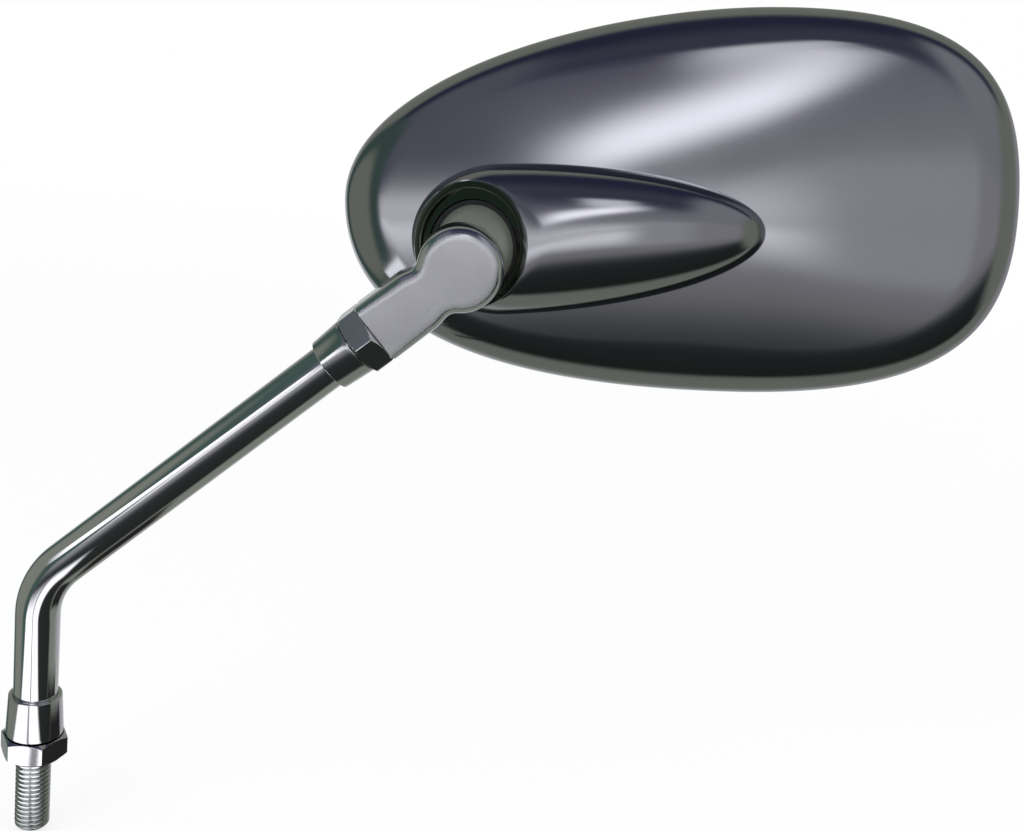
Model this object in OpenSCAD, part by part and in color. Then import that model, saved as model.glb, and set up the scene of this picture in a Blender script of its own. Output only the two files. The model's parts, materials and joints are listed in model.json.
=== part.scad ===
// Motorcycle rear-view mirror with a bent stem, a knuckle arm and a ball joint.
// Millimetres. The origin is the seat of the lower lock nut, on the axis of the threaded stud.
// +Z runs up the lower leg, +X points outboard, and the back of the housing faces -Y.

/* [Stem] */
// Outside diameter of the bent tube
tube_d = 12.5; // [11.6:0.1:13.4]
// Wall of the tube
tube_wall = 2; // [1.2:0.1:2.4]
// From the seat to the corner of the bend
lower_leg = 55.2; // [46:0.2:90]
// From the corner of the bend to the upper collar
upper_leg = 107; // [80:1:160]
// Angle of the bend
bend_angle = 46; // [25:1:60]
// Centre-line radius of the bend
bend_radius = 23; // [18:1:32]

/* [Threaded ends] */
// Nominal diameter of both threads
thread_d = 10; // [8:0.5:10.5]
// Free length of the lower stud below its nut
stud_free = 23.8; // [16:0.2:40]
// Length of each stud inside the tube
plug_length = 14; // [8:1:18]
// Width across the flats of the lock nuts
nut_af = 17; // [16:0.5:19]
// Thickness of the lock nuts
nut_h = 7; // [5:0.1:8]
// Length of the lower collar
lower_collar_length = 12.6; // [8:0.1:16]
// Length of the upper collar
upper_collar_length = 9.3; // [7:0.1:14]
// Wall of the collars round the tube
collar_wall = 1.3; // [1:0.05:1.8]
// Growth of a collar's diameter from the tube to the nut
collar_flare = 1.2; // [0.6:0.1:3]
// Floor between a collar's tube socket and its nut
collar_floor = 2.5; // [1.5:0.1:4]

/* [Knuckle arm] */
// From the end face at the nut to the centre of the round head
arm_length = 28.4; // [26:0.2:40]
// Width at the nut
arm_width = 17.6; // [16.4:0.2:20]
// Thickness from the flat face to the back
arm_thickness = 15; // [13.4:0.2:18]
// Radius of the round head
head_r = 11.6; // [11:0.1:14]
// Rounding of the long edges
edge_r = 3.4; // [2:0.1:4]
// Depth of the threaded socket
arm_socket = 16; // [12:0.5:18]

/* [Ball joint] */
// Radius of the ball
ball_r = 14; // [13:0.1:14.4]
// Radius of the ball's neck
neck_r = 8; // [6.5:0.1:9]
// From the centre of the arm's head to the centre of the ball
neck_length = 24.2; // [22:0.2:30]
// Lean of the neck towards the free end of the arm
neck_rake = 12.5; // [0:0.5:18]
// Lean of the neck towards the lower side of the arm
neck_side = 6; // [-10:0.5:12]
// Thickness of the seat ring and of the rear cup
liner_t = 1.35; // [1:0.05:1.6]
// Radius of the seat ring's front opening
liner_opening_r = 12.3; // [11.4:0.1:12.8]
// Polar angle that the rear cup covers, from its pole
cup_angle = 56; // [40:1:60]
// Diameter of the screw that holds the ball
ball_screw_d = 6; // [5:0.5:6.5]

/* [Housing pose] */
// Upward tilt of the housing's back
housing_tilt = 8; // [-5:0.5:20]
// Turn of the housing's back towards the bike
housing_yaw = 6; // [-10:0.5:15]
// Roll of the housing about its back's normal
housing_roll = 7; // [-10:0.5:20]

/* [Housing] */
// Wall of the shell
shell_wall = 2; // [1.6:0.1:2.4]
// From the ball's centre down to the rim plane
rim_drop = 28; // [27:0.5:34]
// Height of the straight skirt above the rim
skirt_h = 3; // [2:0.5:5]
// Rise of the rounded shoulder above the skirt
shoulder_h = 13; // [10:0.5:15]
// Width of the rounded shoulder
shoulder_w = 16; // [10:0.5:20]
// Further rise of the dome to its middle
crown_h = 7; // [3:0.5:9]
// Outermost point towards the rider's hand
outline_left = [-45, 14];
// Outermost point away from the bike
outline_right = [153.4, 14];
// Highest point of the outline
outline_top = [81.4, 71.1];
// Lowest point of the outline
outline_bottom = [72.3, -41.3];

/* [Nacelle] */
// From the ball's centre to the plane of the mouth
mouth_h = 9; // [8.4:0.1:10]
// Tilt of the mouth towards the stem
mouth_tilt = 20; // [12:1:26]
// Radius of the mouth's outer edge
mouth_r = 17.6; // [17:0.1:18.4]
// Radius of the mouth's inner edge
lip_r = 15.4; // [14.8:0.1:15.8]
// Rise of the mouth's centre above the ball's axis
mouth_rise = 1.2; // [0:0.1:1.6]
// Depth of the step inside the lip
lip_step = 1.4; // [0.8:0.1:1.6]
// Wall of the nacelle
nacelle_wall = 3.2; // [2.8:0.1:3.4]
// Half-width of the nacelle at its foot
nacelle_half_w = 21.5; // [20.5:0.1:24]
// Height of the nacelle above the dome
nacelle_h = 21.5; // [20:0.1:24]
// Length of the nacelle's round front end
nacelle_front = 26.2; // [24:0.1:30]
// Length of the nacelle's pointed rear end
nacelle_rear = 74.8; // [50:0.5:90]

/* [Clamp] */
// Thickness of the clamp plate
plate_t = 1.5; // [1:0.1:2]
// Depth of the plate's seat below the ball's centre
plate_drop = 15; // [14.4:0.1:15.2]
// Radius of the screw circle
clamp_circle_r = 21; // [20.6:0.1:21.6]
// Thread diameter of the clamp screws
clamp_screw_d = 4; // [3:0.5:4]

/* [Glass] */
// Thickness of the glass
glass_t = 2.2; // [1.8:0.1:3]
// Bulge of the glass towards the rider
glass_bulge = 3; // [0:0.2:5]
// Width of the rim that is seen around the glass
bezel_w = 4.4; // [3.4:0.1:8]
// Thickness of the foam pad at the edge of the glass
pad_t = 2; // [1:0.2:4]

/* [Hidden] */

round_fn = 96;
small_fn = 48;

// Clearances
face_gap = 0.1;
running_gap = 0.05;
fit_gap = 0.1;

// Threaded ends, measured from the seat of the nut towards the tube
collar_base = nut_h + face_gap;
collar_top_d = tube_d + 2 * collar_wall;
collar_base_d = collar_top_d + collar_flare;
collar_foot = 1;
tube_end = collar_base + collar_floor;
bore_d = tube_d - 2 * tube_wall;
arm_face = upper_leg + upper_collar_length + face_gap + nut_h + face_gap;
head_s = arm_face + arm_length;
shank_r = thread_d / 2 - 0.2;
tip_r = thread_d * 0.35;
tip_h = (thread_d / 2 - tip_r) * 0.6;
nut_bore_r = shank_r + running_gap;
nut_mouth_r = thread_d / 2 + 0.95;
nut_mouth_h = (nut_mouth_r - nut_bore_r) * tan(30);
nut_chamfer = 0.9;
nut_turn_lower = 1;
nut_turn_upper = 29;
socket_spare = 3;

// Knuckle arm
arm_half = arm_width / 2;
arm_overrun = 5;
head_join = 40;
waist_s = -head_r * 1.05 - 3;
waist_step = 0.2;
flank_start = 3.2;
flank_end = 4;
neck_start = arm_thickness / 2 - 1.2;
screw_grip = 9;
washer_t = 1.2;
ball_recess = 3;
recess_floor = neck_length - ball_recess;

// Ball joint
liner_in = ball_r + running_gap;
liner_out = liner_in + liner_t;
seat_r = liner_out + running_gap;
liner_angle = asin(liner_opening_r / liner_in);
liner_cut = 0.3;

// Seat block in the nacelle
block_low = -7;
block_r = mouth_r - 0.3;

// Clamp
boss_r = clamp_screw_d / 2 + 1.6;
plate_hub_r = 9;
plate_ear = 0.6;
clamp_grip = 3.4;
clamp_head_h = 2.6;
clamp_washer_t = 0.8;
slot_w = 0.8;
slot_h = 1.2;

function ball_in_knuckle() = neck_length * [
    sin(neck_side) * cos(neck_rake),
    cos(neck_side) * cos(neck_rake),
    sin(neck_rake),
];
function knuckle_to_row(p) = [
    p[0] * cos(bend_angle) + (p[2] + head_s) * sin(bend_angle),
    p[1],
    lower_leg - p[0] * sin(bend_angle) + (p[2] + head_s) * cos(bend_angle),
];
ball_centre = knuckle_to_row(ball_in_knuckle());

// Fullness of the outline's four quarters, at their start and at their end
right_top_full = [0.67, 0.80];
top_left_full = [0.42, 0.62];
left_bottom_full = [0.81, 0.50];
bottom_right_full = [0.84, 0.60];

// Housing levels, measured from the ball's centre along the normal of its back
rim_w = -rim_drop;
skirt_w = rim_w + skirt_h;
steps_short = 12;
steps_long = 20;
columns = 2 * steps_short + 2 * steps_long;

// Glass, pad and the ring that holds them
bezel_front = rim_w - 1;
bezel_lip_t = 1.2;
bezel_side_gap = 0.6;
bezel_side_t = 1.1;
bezel_side_w = bezel_front + bezel_lip_t;
bezel_inset = shell_wall + fit_gap;
bezel_side_inset = shell_wall + bezel_side_gap;
glass_edge_w = bezel_side_w + 0.15;
glass_inset = bezel_side_inset + bezel_side_t + fit_gap;
glass_rings = 6;
pad_back_w = glass_edge_w + glass_t + pad_t;
pad_margin = 1;

// Bezier quarter between two extreme points with level or upright tangents
function quarter(a, b, full, upright) =
    let (
        d = b - a,
        a1 = a + full[0] * (upright ? [0, d[1]] : [d[0], 0]),
        b1 = b - full[1] * (upright ? [d[0], 0] : [0, d[1]])
    )
    [a, a1, b1, b];
function on_bezier(p, t) =
    pow(1 - t, 3) * p[0] + 3 * pow(1 - t, 2) * t * p[1] + 3 * (1 - t) * t * t * p[2] + pow(t, 3) * p[3];
function sampled(p, steps) = [for (i = [0:steps - 1]) on_bezier(p, i / steps)];

outline = concat(
    sampled(quarter(outline_right, outline_top, right_top_full, true), steps_short),
    sampled(quarter(outline_top, outline_left, top_left_full, false), steps_long),
    sampled(quarter(outline_left, outline_bottom, left_bottom_full, true), steps_long),
    sampled(quarter(outline_bottom, outline_right, bottom_right_full, false), steps_short)
);

// Outline moved inwards along its normals
function unit(v) = v / norm(v);
function inset(points, gap) = [
    for (i = [0:len(points) - 1])
        let (
            before = points[(i + len(points) - 1) % len(points)],
            after = points[(i + 1) % len(points)],
            along = unit(after - before)
        )
        points[i] + gap * [-along[1], along[0]]
];

// Polar radius of an outline about the middle of the housing
middle = [60, outline_right[1]];
function turn_of(p) = (atan2(p[1] - middle[1], p[0] - middle[0]) + 360) % 360;
function polar_table(points) = concat(
    [for (p = points) [turn_of(p), norm(p - middle)]],
    [[360, norm(points[0] - middle)]]
);
outer_table = polar_table(outline);
inner_outline = inset(outline, shell_wall);
inner_table = polar_table(inner_outline);

// Rounded quarter that rises from 0 to 1 over its width
function rise(x, p) = pow(1 - pow(1 - min(max(x, 0), 1), p), 1 / p);
shoulder_p = 2.3;
function dome(p, table) =
    let (
        edge = lookup(turn_of(p), table),
        far = norm(p - middle)
    )
    skirt_w + shoulder_h * rise((edge - far) / shoulder_w, shoulder_p)
        + crown_h * (1 - pow(min(far / edge, 1), 2));

// Nacelle: a half ellipse in front and a bullet behind, with an arched section
nacelle_u = 4.6;
nacelle_v = 2.8;
nacelle_slope = tan(2.4);
arch_p = 2.75;
plan_p = 1.8;
crest_p = 2.2;
function axis_v(u) = nacelle_v + nacelle_slope * max(u - nacelle_u, 0);
function behind(u, cut) = max(u - nacelle_u, 0) / (nacelle_rear - cut);
function in_front(u, cut) = max(nacelle_u - u, 0) / (nacelle_front - cut);
function foot_norm(p, cut) =
    pow(in_front(p[0], cut), 2) + pow(behind(p[0], cut), plan_p)
        + pow((p[1] - axis_v(p[0])) / (nacelle_half_w - cut), 2);
function arch(p, cut) =
    let (
        x = min(behind(p[0], cut), 1),
        half = (nacelle_half_w - cut) * sqrt(max(1 - pow(x, plan_p), 0.000001)),
        across = (p[1] - axis_v(p[0])) / half,
        r = min(sqrt(pow(in_front(p[0], cut), 2) + across * across), 1)
    )
    nacelle_h * sqrt(1 - pow(x, crest_p)) * pow(1 - pow(r, arch_p), 1 / arch_p);
function skin(p, cut, table) = dome(p, table) - (cut > 0 ? shell_wall : 0) + arch(p, cut);

// Mouth: a circle in a plane that is tilted towards the stem
mouth_axis = [-sin(mouth_tilt), 0, cos(mouth_tilt)];
mouth_across = [cos(mouth_tilt), 0, sin(mouth_tilt)];
mouth_centre = mouth_h * mouth_axis + [0, mouth_rise, 0];
mouth_plan = [mouth_centre[0], mouth_centre[1]];
function mouth_point(toward, r, drop) =
    let (
        d = toward - mouth_plan,
        turn = atan2(d[1], d[0] / cos(mouth_tilt))
    )
    mouth_centre + r * (cos(turn) * mouth_across + sin(turn) * [0, 1, 0]) - [0, 0, drop];

// Where the line from the mouth to an outline point crosses the nacelle's foot
function foot_share(target, cut, low = 0, high = 1, n = 22) =
    n == 0 ? (low + high) / 2 :
    let (
        mid = (low + high) / 2,
        p = mouth_plan + mid * (target - mouth_plan)
    )
    foot_norm(p, cut) < 1
        ? foot_share(target, cut, mid, high, n - 1)
        : foot_share(target, cut, low, mid, n - 1);

nacelle_steps = 8;
dome_steps = 6;
shoulder_steps = 7;

// One column of the skin, from the mouth's lip out to the edge
function column(target, cut, table) =
    let (
        rim = mouth_point(target, mouth_r - cut, cut > 0 ? shell_wall : 0),
        rim_plan = [rim[0], rim[1]],
        foot = mouth_plan + foot_share(target, cut) * (target - mouth_plan),
        fix = rim[2] - skin(rim_plan, cut, table),
        span = norm(target - foot),
        bend = min(shoulder_w * 1.15, span * 0.8)
    )
    concat(
        [rim],
        [for (k = [1:nacelle_steps])
            let (
                t = 1 - pow(1 - k / nacelle_steps, 2.4),
                p = rim_plan + t * (foot - rim_plan)
            )
            [p[0], p[1], skin(p, cut, table) + (1 - t) * fix]],
        [for (k = [1:dome_steps])
            let (p = foot + k / dome_steps * (1 - bend / span) * (target - foot))
            [p[0], p[1], skin(p, cut, table)]],
        [for (k = [1:shoulder_steps])
            let (
                left = bend / span * (1 - sin(90 * k / shoulder_steps)),
                p = foot + (1 - left) * (target - foot)
            )
            [p[0], p[1], skin(p, cut, table)]]
    );
function reversed(list) = [for (i = [len(list) - 1:-1:0]) list[i]];
function ring_section(i) = concat(
    [mouth_point(outline[i], lip_r - 1.6, 0)],
    column(outline[i], 0, outer_table),
    [[outline[i][0], outline[i][1], rim_w]],
    [[inner_outline[i][0], inner_outline[i][1], rim_w]],
    reversed(column(inner_outline[i], nacelle_wall, inner_table)),
    [mouth_point(outline[i], lip_r - 1.6, shell_wall)]
);

// Closed ring of sections, as triangles
module loft_ring(sections) {
    n = len(sections);
    m = len(sections[0]);
    polyhedron(
        points = [for (s = sections) each s],
        faces = [
            for (i = [0:n - 1], j = [0:m - 1])
                let (
                    a = i * m + j,
                    b = i * m + (j + 1) % m,
                    c = ((i + 1) % n) * m + (j + 1) % m,
                    d = ((i + 1) % n) * m + j
                )
                each [[a, c, b], [a, d, c]]
        ]
    );
}

// Closed stack of loops with flat ends, as triangles
module loft_stack(loops) {
    n = len(loops);
    m = len(loops[0]);
    polyhedron(
        points = [for (l = loops) each l],
        faces = concat(
            [[for (j = [0:m - 1]) j]],
            [
                for (i = [0:n - 2], j = [0:m - 1])
                    let (
                        a = i * m + j,
                        b = i * m + (j + 1) % m,
                        c = (i + 1) * m + (j + 1) % m,
                        d = (i + 1) * m + j
                    )
                    each [[a, d, c], [a, c, b]]
            ],
            [[for (j = [m - 1:-1:0]) (n - 1) * m + j]]
        )
    );
}

// Frames
module upper_frame(s) {
    translate([0, 0, lower_leg])
        rotate([0, bend_angle, 0])
            translate([0, 0, s])
                children();
}
module upper_end_frame() {
    upper_frame(arm_face - face_gap)
        rotate([180, 0, 0])
            children();
}
module knuckle_frame() {
    upper_frame(head_s) children();
}
module neck_frame() {
    knuckle_frame()
        rotate([0, 0, -neck_side])
            rotate([neck_rake - 90, 0, 0])
                children();
}
module housing_frame() {
    translate(ball_centre)
        rotate([0, 0, -housing_yaw])
            rotate([90 - housing_tilt, 0, 0])
                rotate([0, 0, housing_roll])
                    children();
}
module mouth_frame() {
    housing_frame()
        rotate([0, -mouth_tilt, 0])
            children();
}

// Stem: stations along the tube's centre line, each with its height and its lean
bend_steps = 14;
tube_columns = 56;
bend_tangent = bend_radius * tan(bend_angle / 2);
upper_tube_end = arm_face - face_gap - tube_end;
stations = concat(
    [[[0, 0, tube_end], 0]],
    [for (k = [0:bend_steps])
        let (a = bend_angle * k / bend_steps)
        [[bend_radius * (1 - cos(a)), 0, lower_leg - bend_tangent + bend_radius * sin(a)], a]],
    [[
        [upper_tube_end * sin(bend_angle), 0, lower_leg + upper_tube_end * cos(bend_angle)],
        bend_angle
    ]]
);
function wall_line(r, turn) = [
    for (s = stations)
        s[0] + r * cos(turn) * [cos(s[1]), 0, -sin(s[1])] + r * sin(turn) * [0, 1, 0]
];
module stem_tube() {
    color("silver")
        loft_ring([
            for (i = [0:tube_columns - 1])
                let (turn = 360 * i / tube_columns)
                concat(reversed(wall_line(tube_d / 2, turn)), wall_line(bore_d / 2, turn))
        ]);
}
module stud(free) {
    tip = [
        for (a = [0:15:90])
            [tip_r + (thread_d / 2 - tip_r) * sin(a), -free - tip_h * cos(a)]
    ];
    rotate_extrude($fn = round_fn)
        polygon(concat(
            [[0, -free - tip_h]],
            tip,
            [
                [thread_d / 2, 0],
                [shank_r, 0],
                [shank_r, tube_end],
                [bore_d / 2, tube_end],
                [bore_d / 2, tube_end + plug_length],
                [0, tube_end + plug_length]
            ]
        ));
}
module collar(length) {
    collar_top = collar_base + length;
    socket_r = tube_d / 2 + running_gap;
    hole_r = shank_r + fit_gap;
    rotate_extrude($fn = round_fn)
        polygon([
            [hole_r, collar_base],
            [collar_base_d / 2, collar_base],
            [collar_base_d / 2, collar_base + collar_foot],
            [collar_top_d / 2, collar_top],
            [socket_r, collar_top],
            [socket_r, tube_end],
            [hole_r, tube_end]
        ]);
}
module lock_nut() {
    corner_r = nut_af / 2 / cos(30);
    difference() {
        intersection() {
            cylinder(r = corner_r, h = nut_h, $fn = 6);
            rotate_extrude($fn = round_fn)
                polygon([
                    [0, 0],
                    [corner_r - nut_chamfer, 0],
                    [corner_r + 0.1, nut_chamfer],
                    [corner_r + 0.1, nut_h - nut_chamfer],
                    [corner_r - nut_chamfer, nut_h],
                    [0, nut_h]
                ]);
        }
        rotate_extrude($fn = round_fn)
            polygon([
                [0, -1],
                [nut_mouth_r, -1],
                [nut_mouth_r, 0],
                [nut_bore_r, nut_mouth_h],
                [nut_bore_r, nut_h - nut_mouth_h],
                [nut_mouth_r, nut_h],
                [nut_mouth_r, nut_h + 1],
                [0, nut_h + 1]
            ]);
    }
}
module lower_stud() {
    color("gainsboro") stud(stud_free);
}
module lower_collar() {
    color("silver") collar(lower_collar_length);
}
module lower_lock_nut() {
    color("silver") rotate([0, 0, nut_turn_lower]) lock_nut();
}
module upper_stud() {
    color("gainsboro") upper_end_frame() stud(arm_socket - socket_spare);
}
module upper_collar() {
    color("silver") upper_end_frame() collar(upper_collar_length);
}
module upper_lock_nut() {
    color("silver") upper_end_frame() rotate([0, 0, nut_turn_upper]) lock_nut();
}

// Outline of the arm seen on its flat face, as [across, along] about the head's centre
head_steps = 24;
flank_steps = 8;
function arm_outline() =
    let (
        join = head_r * [cos(head_join), -sin(head_join)],
        lean = [-sin(head_join), -cos(head_join)],
        waist = [arm_half - waist_step, waist_s],
        flank = [join, join + flank_start * lean, waist + [0, flank_end], waist],
        right = [for (k = [1:flank_steps]) on_bezier(flank, k / flank_steps)],
        foot = [arm_half, -arm_length - arm_overrun]
    )
    concat(
        [for (k = [0:head_steps])
            let (a = 180 + head_join - k * (180 + 2 * head_join) / head_steps)
            head_r * [cos(a), sin(a)]],
        right,
        [foot],
        [[-foot[0], foot[1]]],
        reversed([for (p = right) [-p[0], p[1]]])
    );
function arm_loop(gap, level) = [
    for (p = reversed(inset(reversed(arm_outline()), gap))) [p[0], level, p[1]]
];
module arm_blank() {
    half = arm_thickness / 2;
    front = [for (k = [0:6]) [edge_r * (1 - sin(15 * k)), -half + edge_r * (1 - cos(15 * k))]];
    back = [for (k = [6:-1:0]) [edge_r * (1 - sin(15 * k)), half - edge_r * (1 - cos(15 * k))]];
    loft_stack([for (step = concat(front, back)) arm_loop(step[0], step[1])]);
}
module knuckle_arm() {
    color("lightgray")
    difference() {
        knuckle_frame() arm_blank();
        knuckle_frame()
            translate([-arm_width, -arm_thickness, -arm_length - 2 * arm_overrun])
                cube([2 * arm_width, 2 * arm_thickness, 2 * arm_overrun]);
        knuckle_frame()
            translate([0, 0, -arm_length - 1])
                cylinder(r = thread_d / 2 + running_gap, h = arm_socket + 1, $fn = round_fn);
        neck_frame()
            translate([0, 0, neck_start])
                cylinder(r = 3 * head_r, h = neck_length, $fn = small_fn);
        neck_frame()
            translate([0, 0, neck_start - screw_grip - 1])
                cylinder(d = ball_screw_d + 2 * running_gap, h = screw_grip + 2, $fn = small_fn);
    }
}

// Ball joint
module swivel_ball() {
    foot = neck_start + face_gap;
    color("dimgray") neck_frame()
    difference() {
        union() {
            translate([0, 0, neck_length])
                sphere(r = ball_r, $fn = round_fn);
            translate([0, 0, foot])
                cylinder(r = neck_r, h = neck_length - foot, $fn = round_fn);
        }
        translate([0, 0, foot - 1])
            cylinder(d = ball_screw_d + 2 * running_gap, h = neck_length, $fn = small_fn);
        translate([0, 0, recess_floor])
            cylinder(d = 2 * ball_screw_d, h = 2 * ball_r, $fn = small_fn);
    }
}
module ball_washer() {
    color("gainsboro") neck_frame()
    translate([0, 0, recess_floor + face_gap])
        difference() {
            cylinder(d = 2 * ball_screw_d - 0.6, h = washer_t, $fn = small_fn);
            translate([0, 0, -1])
                cylinder(d = ball_screw_d + 2 * fit_gap, h = washer_t + 2, $fn = small_fn);
        }
}
module ball_screw() {
    head_z = recess_floor + washer_t + 2 * face_gap;
    color("dimgray") neck_frame()
    difference() {
        union() {
            translate([0, 0, neck_start - screw_grip + 0.5])
                cylinder(d = ball_screw_d, h = head_z - neck_start + screw_grip, $fn = small_fn);
            translate([0, 0, head_z])
                cylinder(d = 1.65 * ball_screw_d, h = ball_screw_d, $fn = small_fn);
        }
        translate([0, 0, head_z + ball_screw_d / 2])
            cylinder(d = ball_screw_d, h = ball_screw_d, $fn = 6);
    }
}
module front_liner() {
    color([0.1, 0.1, 0.11]) mouth_frame()
    difference() {
        sphere(r = liner_out, $fn = round_fn);
        sphere(r = liner_in, $fn = round_fn);
        cylinder(h = 2 * liner_out, r1 = 0, r2 = 2 * liner_out * tan(liner_angle), $fn = round_fn);
        rotate([0, mouth_tilt, 0])
            translate([0, 0, -2 * liner_out + liner_cut])
                cylinder(r = 2 * liner_out, h = 2 * liner_out, $fn = round_fn);
    }
}
module rear_cup() {
    color([0.12, 0.12, 0.13]) housing_frame()
    difference() {
        intersection() {
            sphere(r = liner_out, $fn = round_fn);
            translate([0, 0, -2 * liner_out])
                cylinder(h = 2 * liner_out, r1 = 2 * liner_out * tan(cup_angle), r2 = 0, $fn = round_fn);
        }
        sphere(r = liner_in, $fn = round_fn);
    }
}

// Housing
function boss_place(k) = clamp_circle_r * [cos(90 + 120 * k), sin(90 + 120 * k)];
function boss_top(p) = min([
    for (a = [0:30:330]) skin(p + boss_r * [cos(a), sin(a)], 0, outer_table)
]) - shell_wall / 2;
module shell_skin() {
    loft_ring([for (i = [0:columns - 1]) ring_section(i)]);
}
module seat_block() {
    translate([0, mouth_rise, block_low])
        cylinder(r = block_r, h = mouth_h - block_low - shell_wall / 2, $fn = round_fn);
}
module clamp_bosses() {
    for (k = [0:2]) {
        p = boss_place(k);
        translate([p[0], p[1], -plate_drop])
            cylinder(r = boss_r, h = plate_drop + boss_top(p), $fn = small_fn);
    }
}
module housing_shell() {
    color("lightslategray")
    difference() {
        union() {
            housing_frame() shell_skin();
            mouth_frame() seat_block();
            housing_frame() clamp_bosses();
        }
        housing_frame()
            sphere(r = seat_r, $fn = round_fn);
        housing_frame()
            translate([0, 0, -rim_drop])
                cylinder(r = seat_r, h = rim_drop, $fn = round_fn);
        mouth_frame()
            cylinder(r = liner_out * sin(liner_angle) + 0.4, h = 2 * mouth_h, $fn = round_fn);
        mouth_frame()
            translate([0, mouth_rise, mouth_h - lip_step])
                cylinder(r = lip_r, h = mouth_h, $fn = round_fn);
        housing_frame()
            for (k = [0:2])
                translate([each boss_place(k), -plate_drop - 1])
                    cylinder(d = clamp_screw_d + 2 * running_gap, h = 1 + clamp_grip + 0.4, $fn = small_fn);
    }
}
module clamp_plate() {
    dish_r = seat_r + plate_t;
    color("slategray") housing_frame()
    difference() {
        union() {
            intersection() {
                sphere(r = dish_r, $fn = round_fn);
                translate([0, 0, -2 * dish_r])
                    cylinder(r = dish_r, h = 2 * dish_r - plate_drop - plate_t / 2, $fn = round_fn);
            }
            for (k = [0:2])
                hull() {
                    translate([0, 0, -plate_drop - plate_t])
                        cylinder(r = plate_hub_r, h = plate_t, $fn = 32);
                    translate([each boss_place(k), -plate_drop - plate_t])
                        cylinder(r = boss_r + plate_ear, h = plate_t, $fn = 32);
                }
        }
        sphere(r = seat_r, $fn = round_fn);
        for (k = [0:2])
            translate([each boss_place(k), -plate_drop - 2 * plate_t])
                cylinder(d = clamp_screw_d + 2 * fit_gap, h = 3 * plate_t, $fn = small_fn);
    }
}
module clamp_washers() {
    color("gainsboro") housing_frame()
    for (k = [0:2])
        translate([each boss_place(k), -plate_drop - plate_t - clamp_washer_t])
            difference() {
                cylinder(d = 1.9 * clamp_screw_d, h = clamp_washer_t, $fn = small_fn);
                translate([0, 0, -1])
                    cylinder(d = clamp_screw_d + 2 * fit_gap, h = 3, $fn = small_fn);
            }
}
module clamp_screws() {
    under_head = -plate_drop - plate_t - clamp_washer_t;
    color("silver") housing_frame()
    for (k = [0:2])
        translate([each boss_place(k), under_head])
            difference() {
                union() {
                    translate([0, 0, -clamp_head_h])
                        cylinder(d = 1.75 * clamp_screw_d, h = clamp_head_h, $fn = small_fn);
                    cylinder(d = clamp_screw_d, h = clamp_grip + plate_t + clamp_washer_t, $fn = small_fn);
                }
                translate([-clamp_screw_d, -slot_w / 2, -clamp_head_h - slot_h])
                    cube([2 * clamp_screw_d, slot_w, 2 * slot_h]);
            }
}

// Glass, pad and ring
function toward_middle(points, share, w) = [
    for (p = points)
        let (q = middle + share * (p - middle))
        [q[0], q[1], w]
];
function bulged(points, w) = [
    for (k = [1:glass_rings])
        let (share = k / glass_rings)
        toward_middle(points, share, w - glass_bulge * (1 - share * share))
];
module mirror_glass() {
    edge = inset(outline, glass_inset);
    color("lightsteelblue") housing_frame()
        loft_stack(concat(
            bulged(edge, glass_edge_w),
            reversed(bulged(edge, glass_edge_w + glass_t))
        ));
}
module glass_pad() {
    edge = inset(outline, glass_inset + pad_margin);
    color([0.25, 0.25, 0.26]) housing_frame()
        loft_stack(concat(
            bulged(edge, glass_edge_w + glass_t),
            [toward_middle(edge, 1, pad_back_w)]
        ));
}
module glass_bezel() {
    color([0.08, 0.08, 0.09]) housing_frame() {
        translate([0, 0, bezel_front])
            linear_extrude(bezel_lip_t)
                difference() {
                    polygon(inset(outline, bezel_inset));
                    polygon(inset(outline, bezel_w + fit_gap));
                }
        translate([0, 0, bezel_side_w])
            linear_extrude(glass_t + pad_t)
                difference() {
                    polygon(inset(outline, bezel_side_inset));
                    polygon(inset(outline, glass_inset - fit_gap));
                }
    }
}

stem_tube();
lower_stud();
lower_collar();
lower_lock_nut();
upper_stud();
upper_collar();
upper_lock_nut();
knuckle_arm();
swivel_ball();
ball_screw();
ball_washer();
front_liner();
rear_cup();
housing_shell();
clamp_plate();
clamp_screws();
clamp_washers();
mirror_glass();
glass_pad();
glass_bezel();
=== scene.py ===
"""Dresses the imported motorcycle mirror: plated shell, ball joint, knuckle arm and bent threaded stem."""

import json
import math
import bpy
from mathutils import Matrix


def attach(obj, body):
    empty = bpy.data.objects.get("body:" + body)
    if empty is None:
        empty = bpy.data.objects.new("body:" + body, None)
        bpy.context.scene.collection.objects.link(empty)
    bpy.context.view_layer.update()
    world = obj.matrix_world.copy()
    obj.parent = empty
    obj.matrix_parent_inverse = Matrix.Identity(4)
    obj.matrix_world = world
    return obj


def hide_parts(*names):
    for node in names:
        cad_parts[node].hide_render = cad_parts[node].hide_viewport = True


bl_info = {
    "name": "Motorcycle Mirror Dresser",
    "version": (1, 0, 0),
    "blender": (4, 5, 0),
    "location": "View3D > Sidebar > Mirror",
    "description": "Builds the visible pieces, finishes and studio of a motorcycle rear-view mirror",
    "category": "Object",
}

import bmesh
import bpy
import numpy as np
from bpy.props import FloatProperty, FloatVectorProperty, IntProperty, PointerProperty
from mathutils import Matrix, Vector

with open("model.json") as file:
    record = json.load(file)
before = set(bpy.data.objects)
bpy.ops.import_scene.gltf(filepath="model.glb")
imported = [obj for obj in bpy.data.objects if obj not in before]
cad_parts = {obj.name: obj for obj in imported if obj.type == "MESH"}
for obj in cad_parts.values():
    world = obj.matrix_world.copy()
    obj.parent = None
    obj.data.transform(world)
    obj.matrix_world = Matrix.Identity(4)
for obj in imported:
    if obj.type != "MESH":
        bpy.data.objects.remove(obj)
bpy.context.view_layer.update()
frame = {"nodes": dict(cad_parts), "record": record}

TURN = 2 * math.pi


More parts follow.
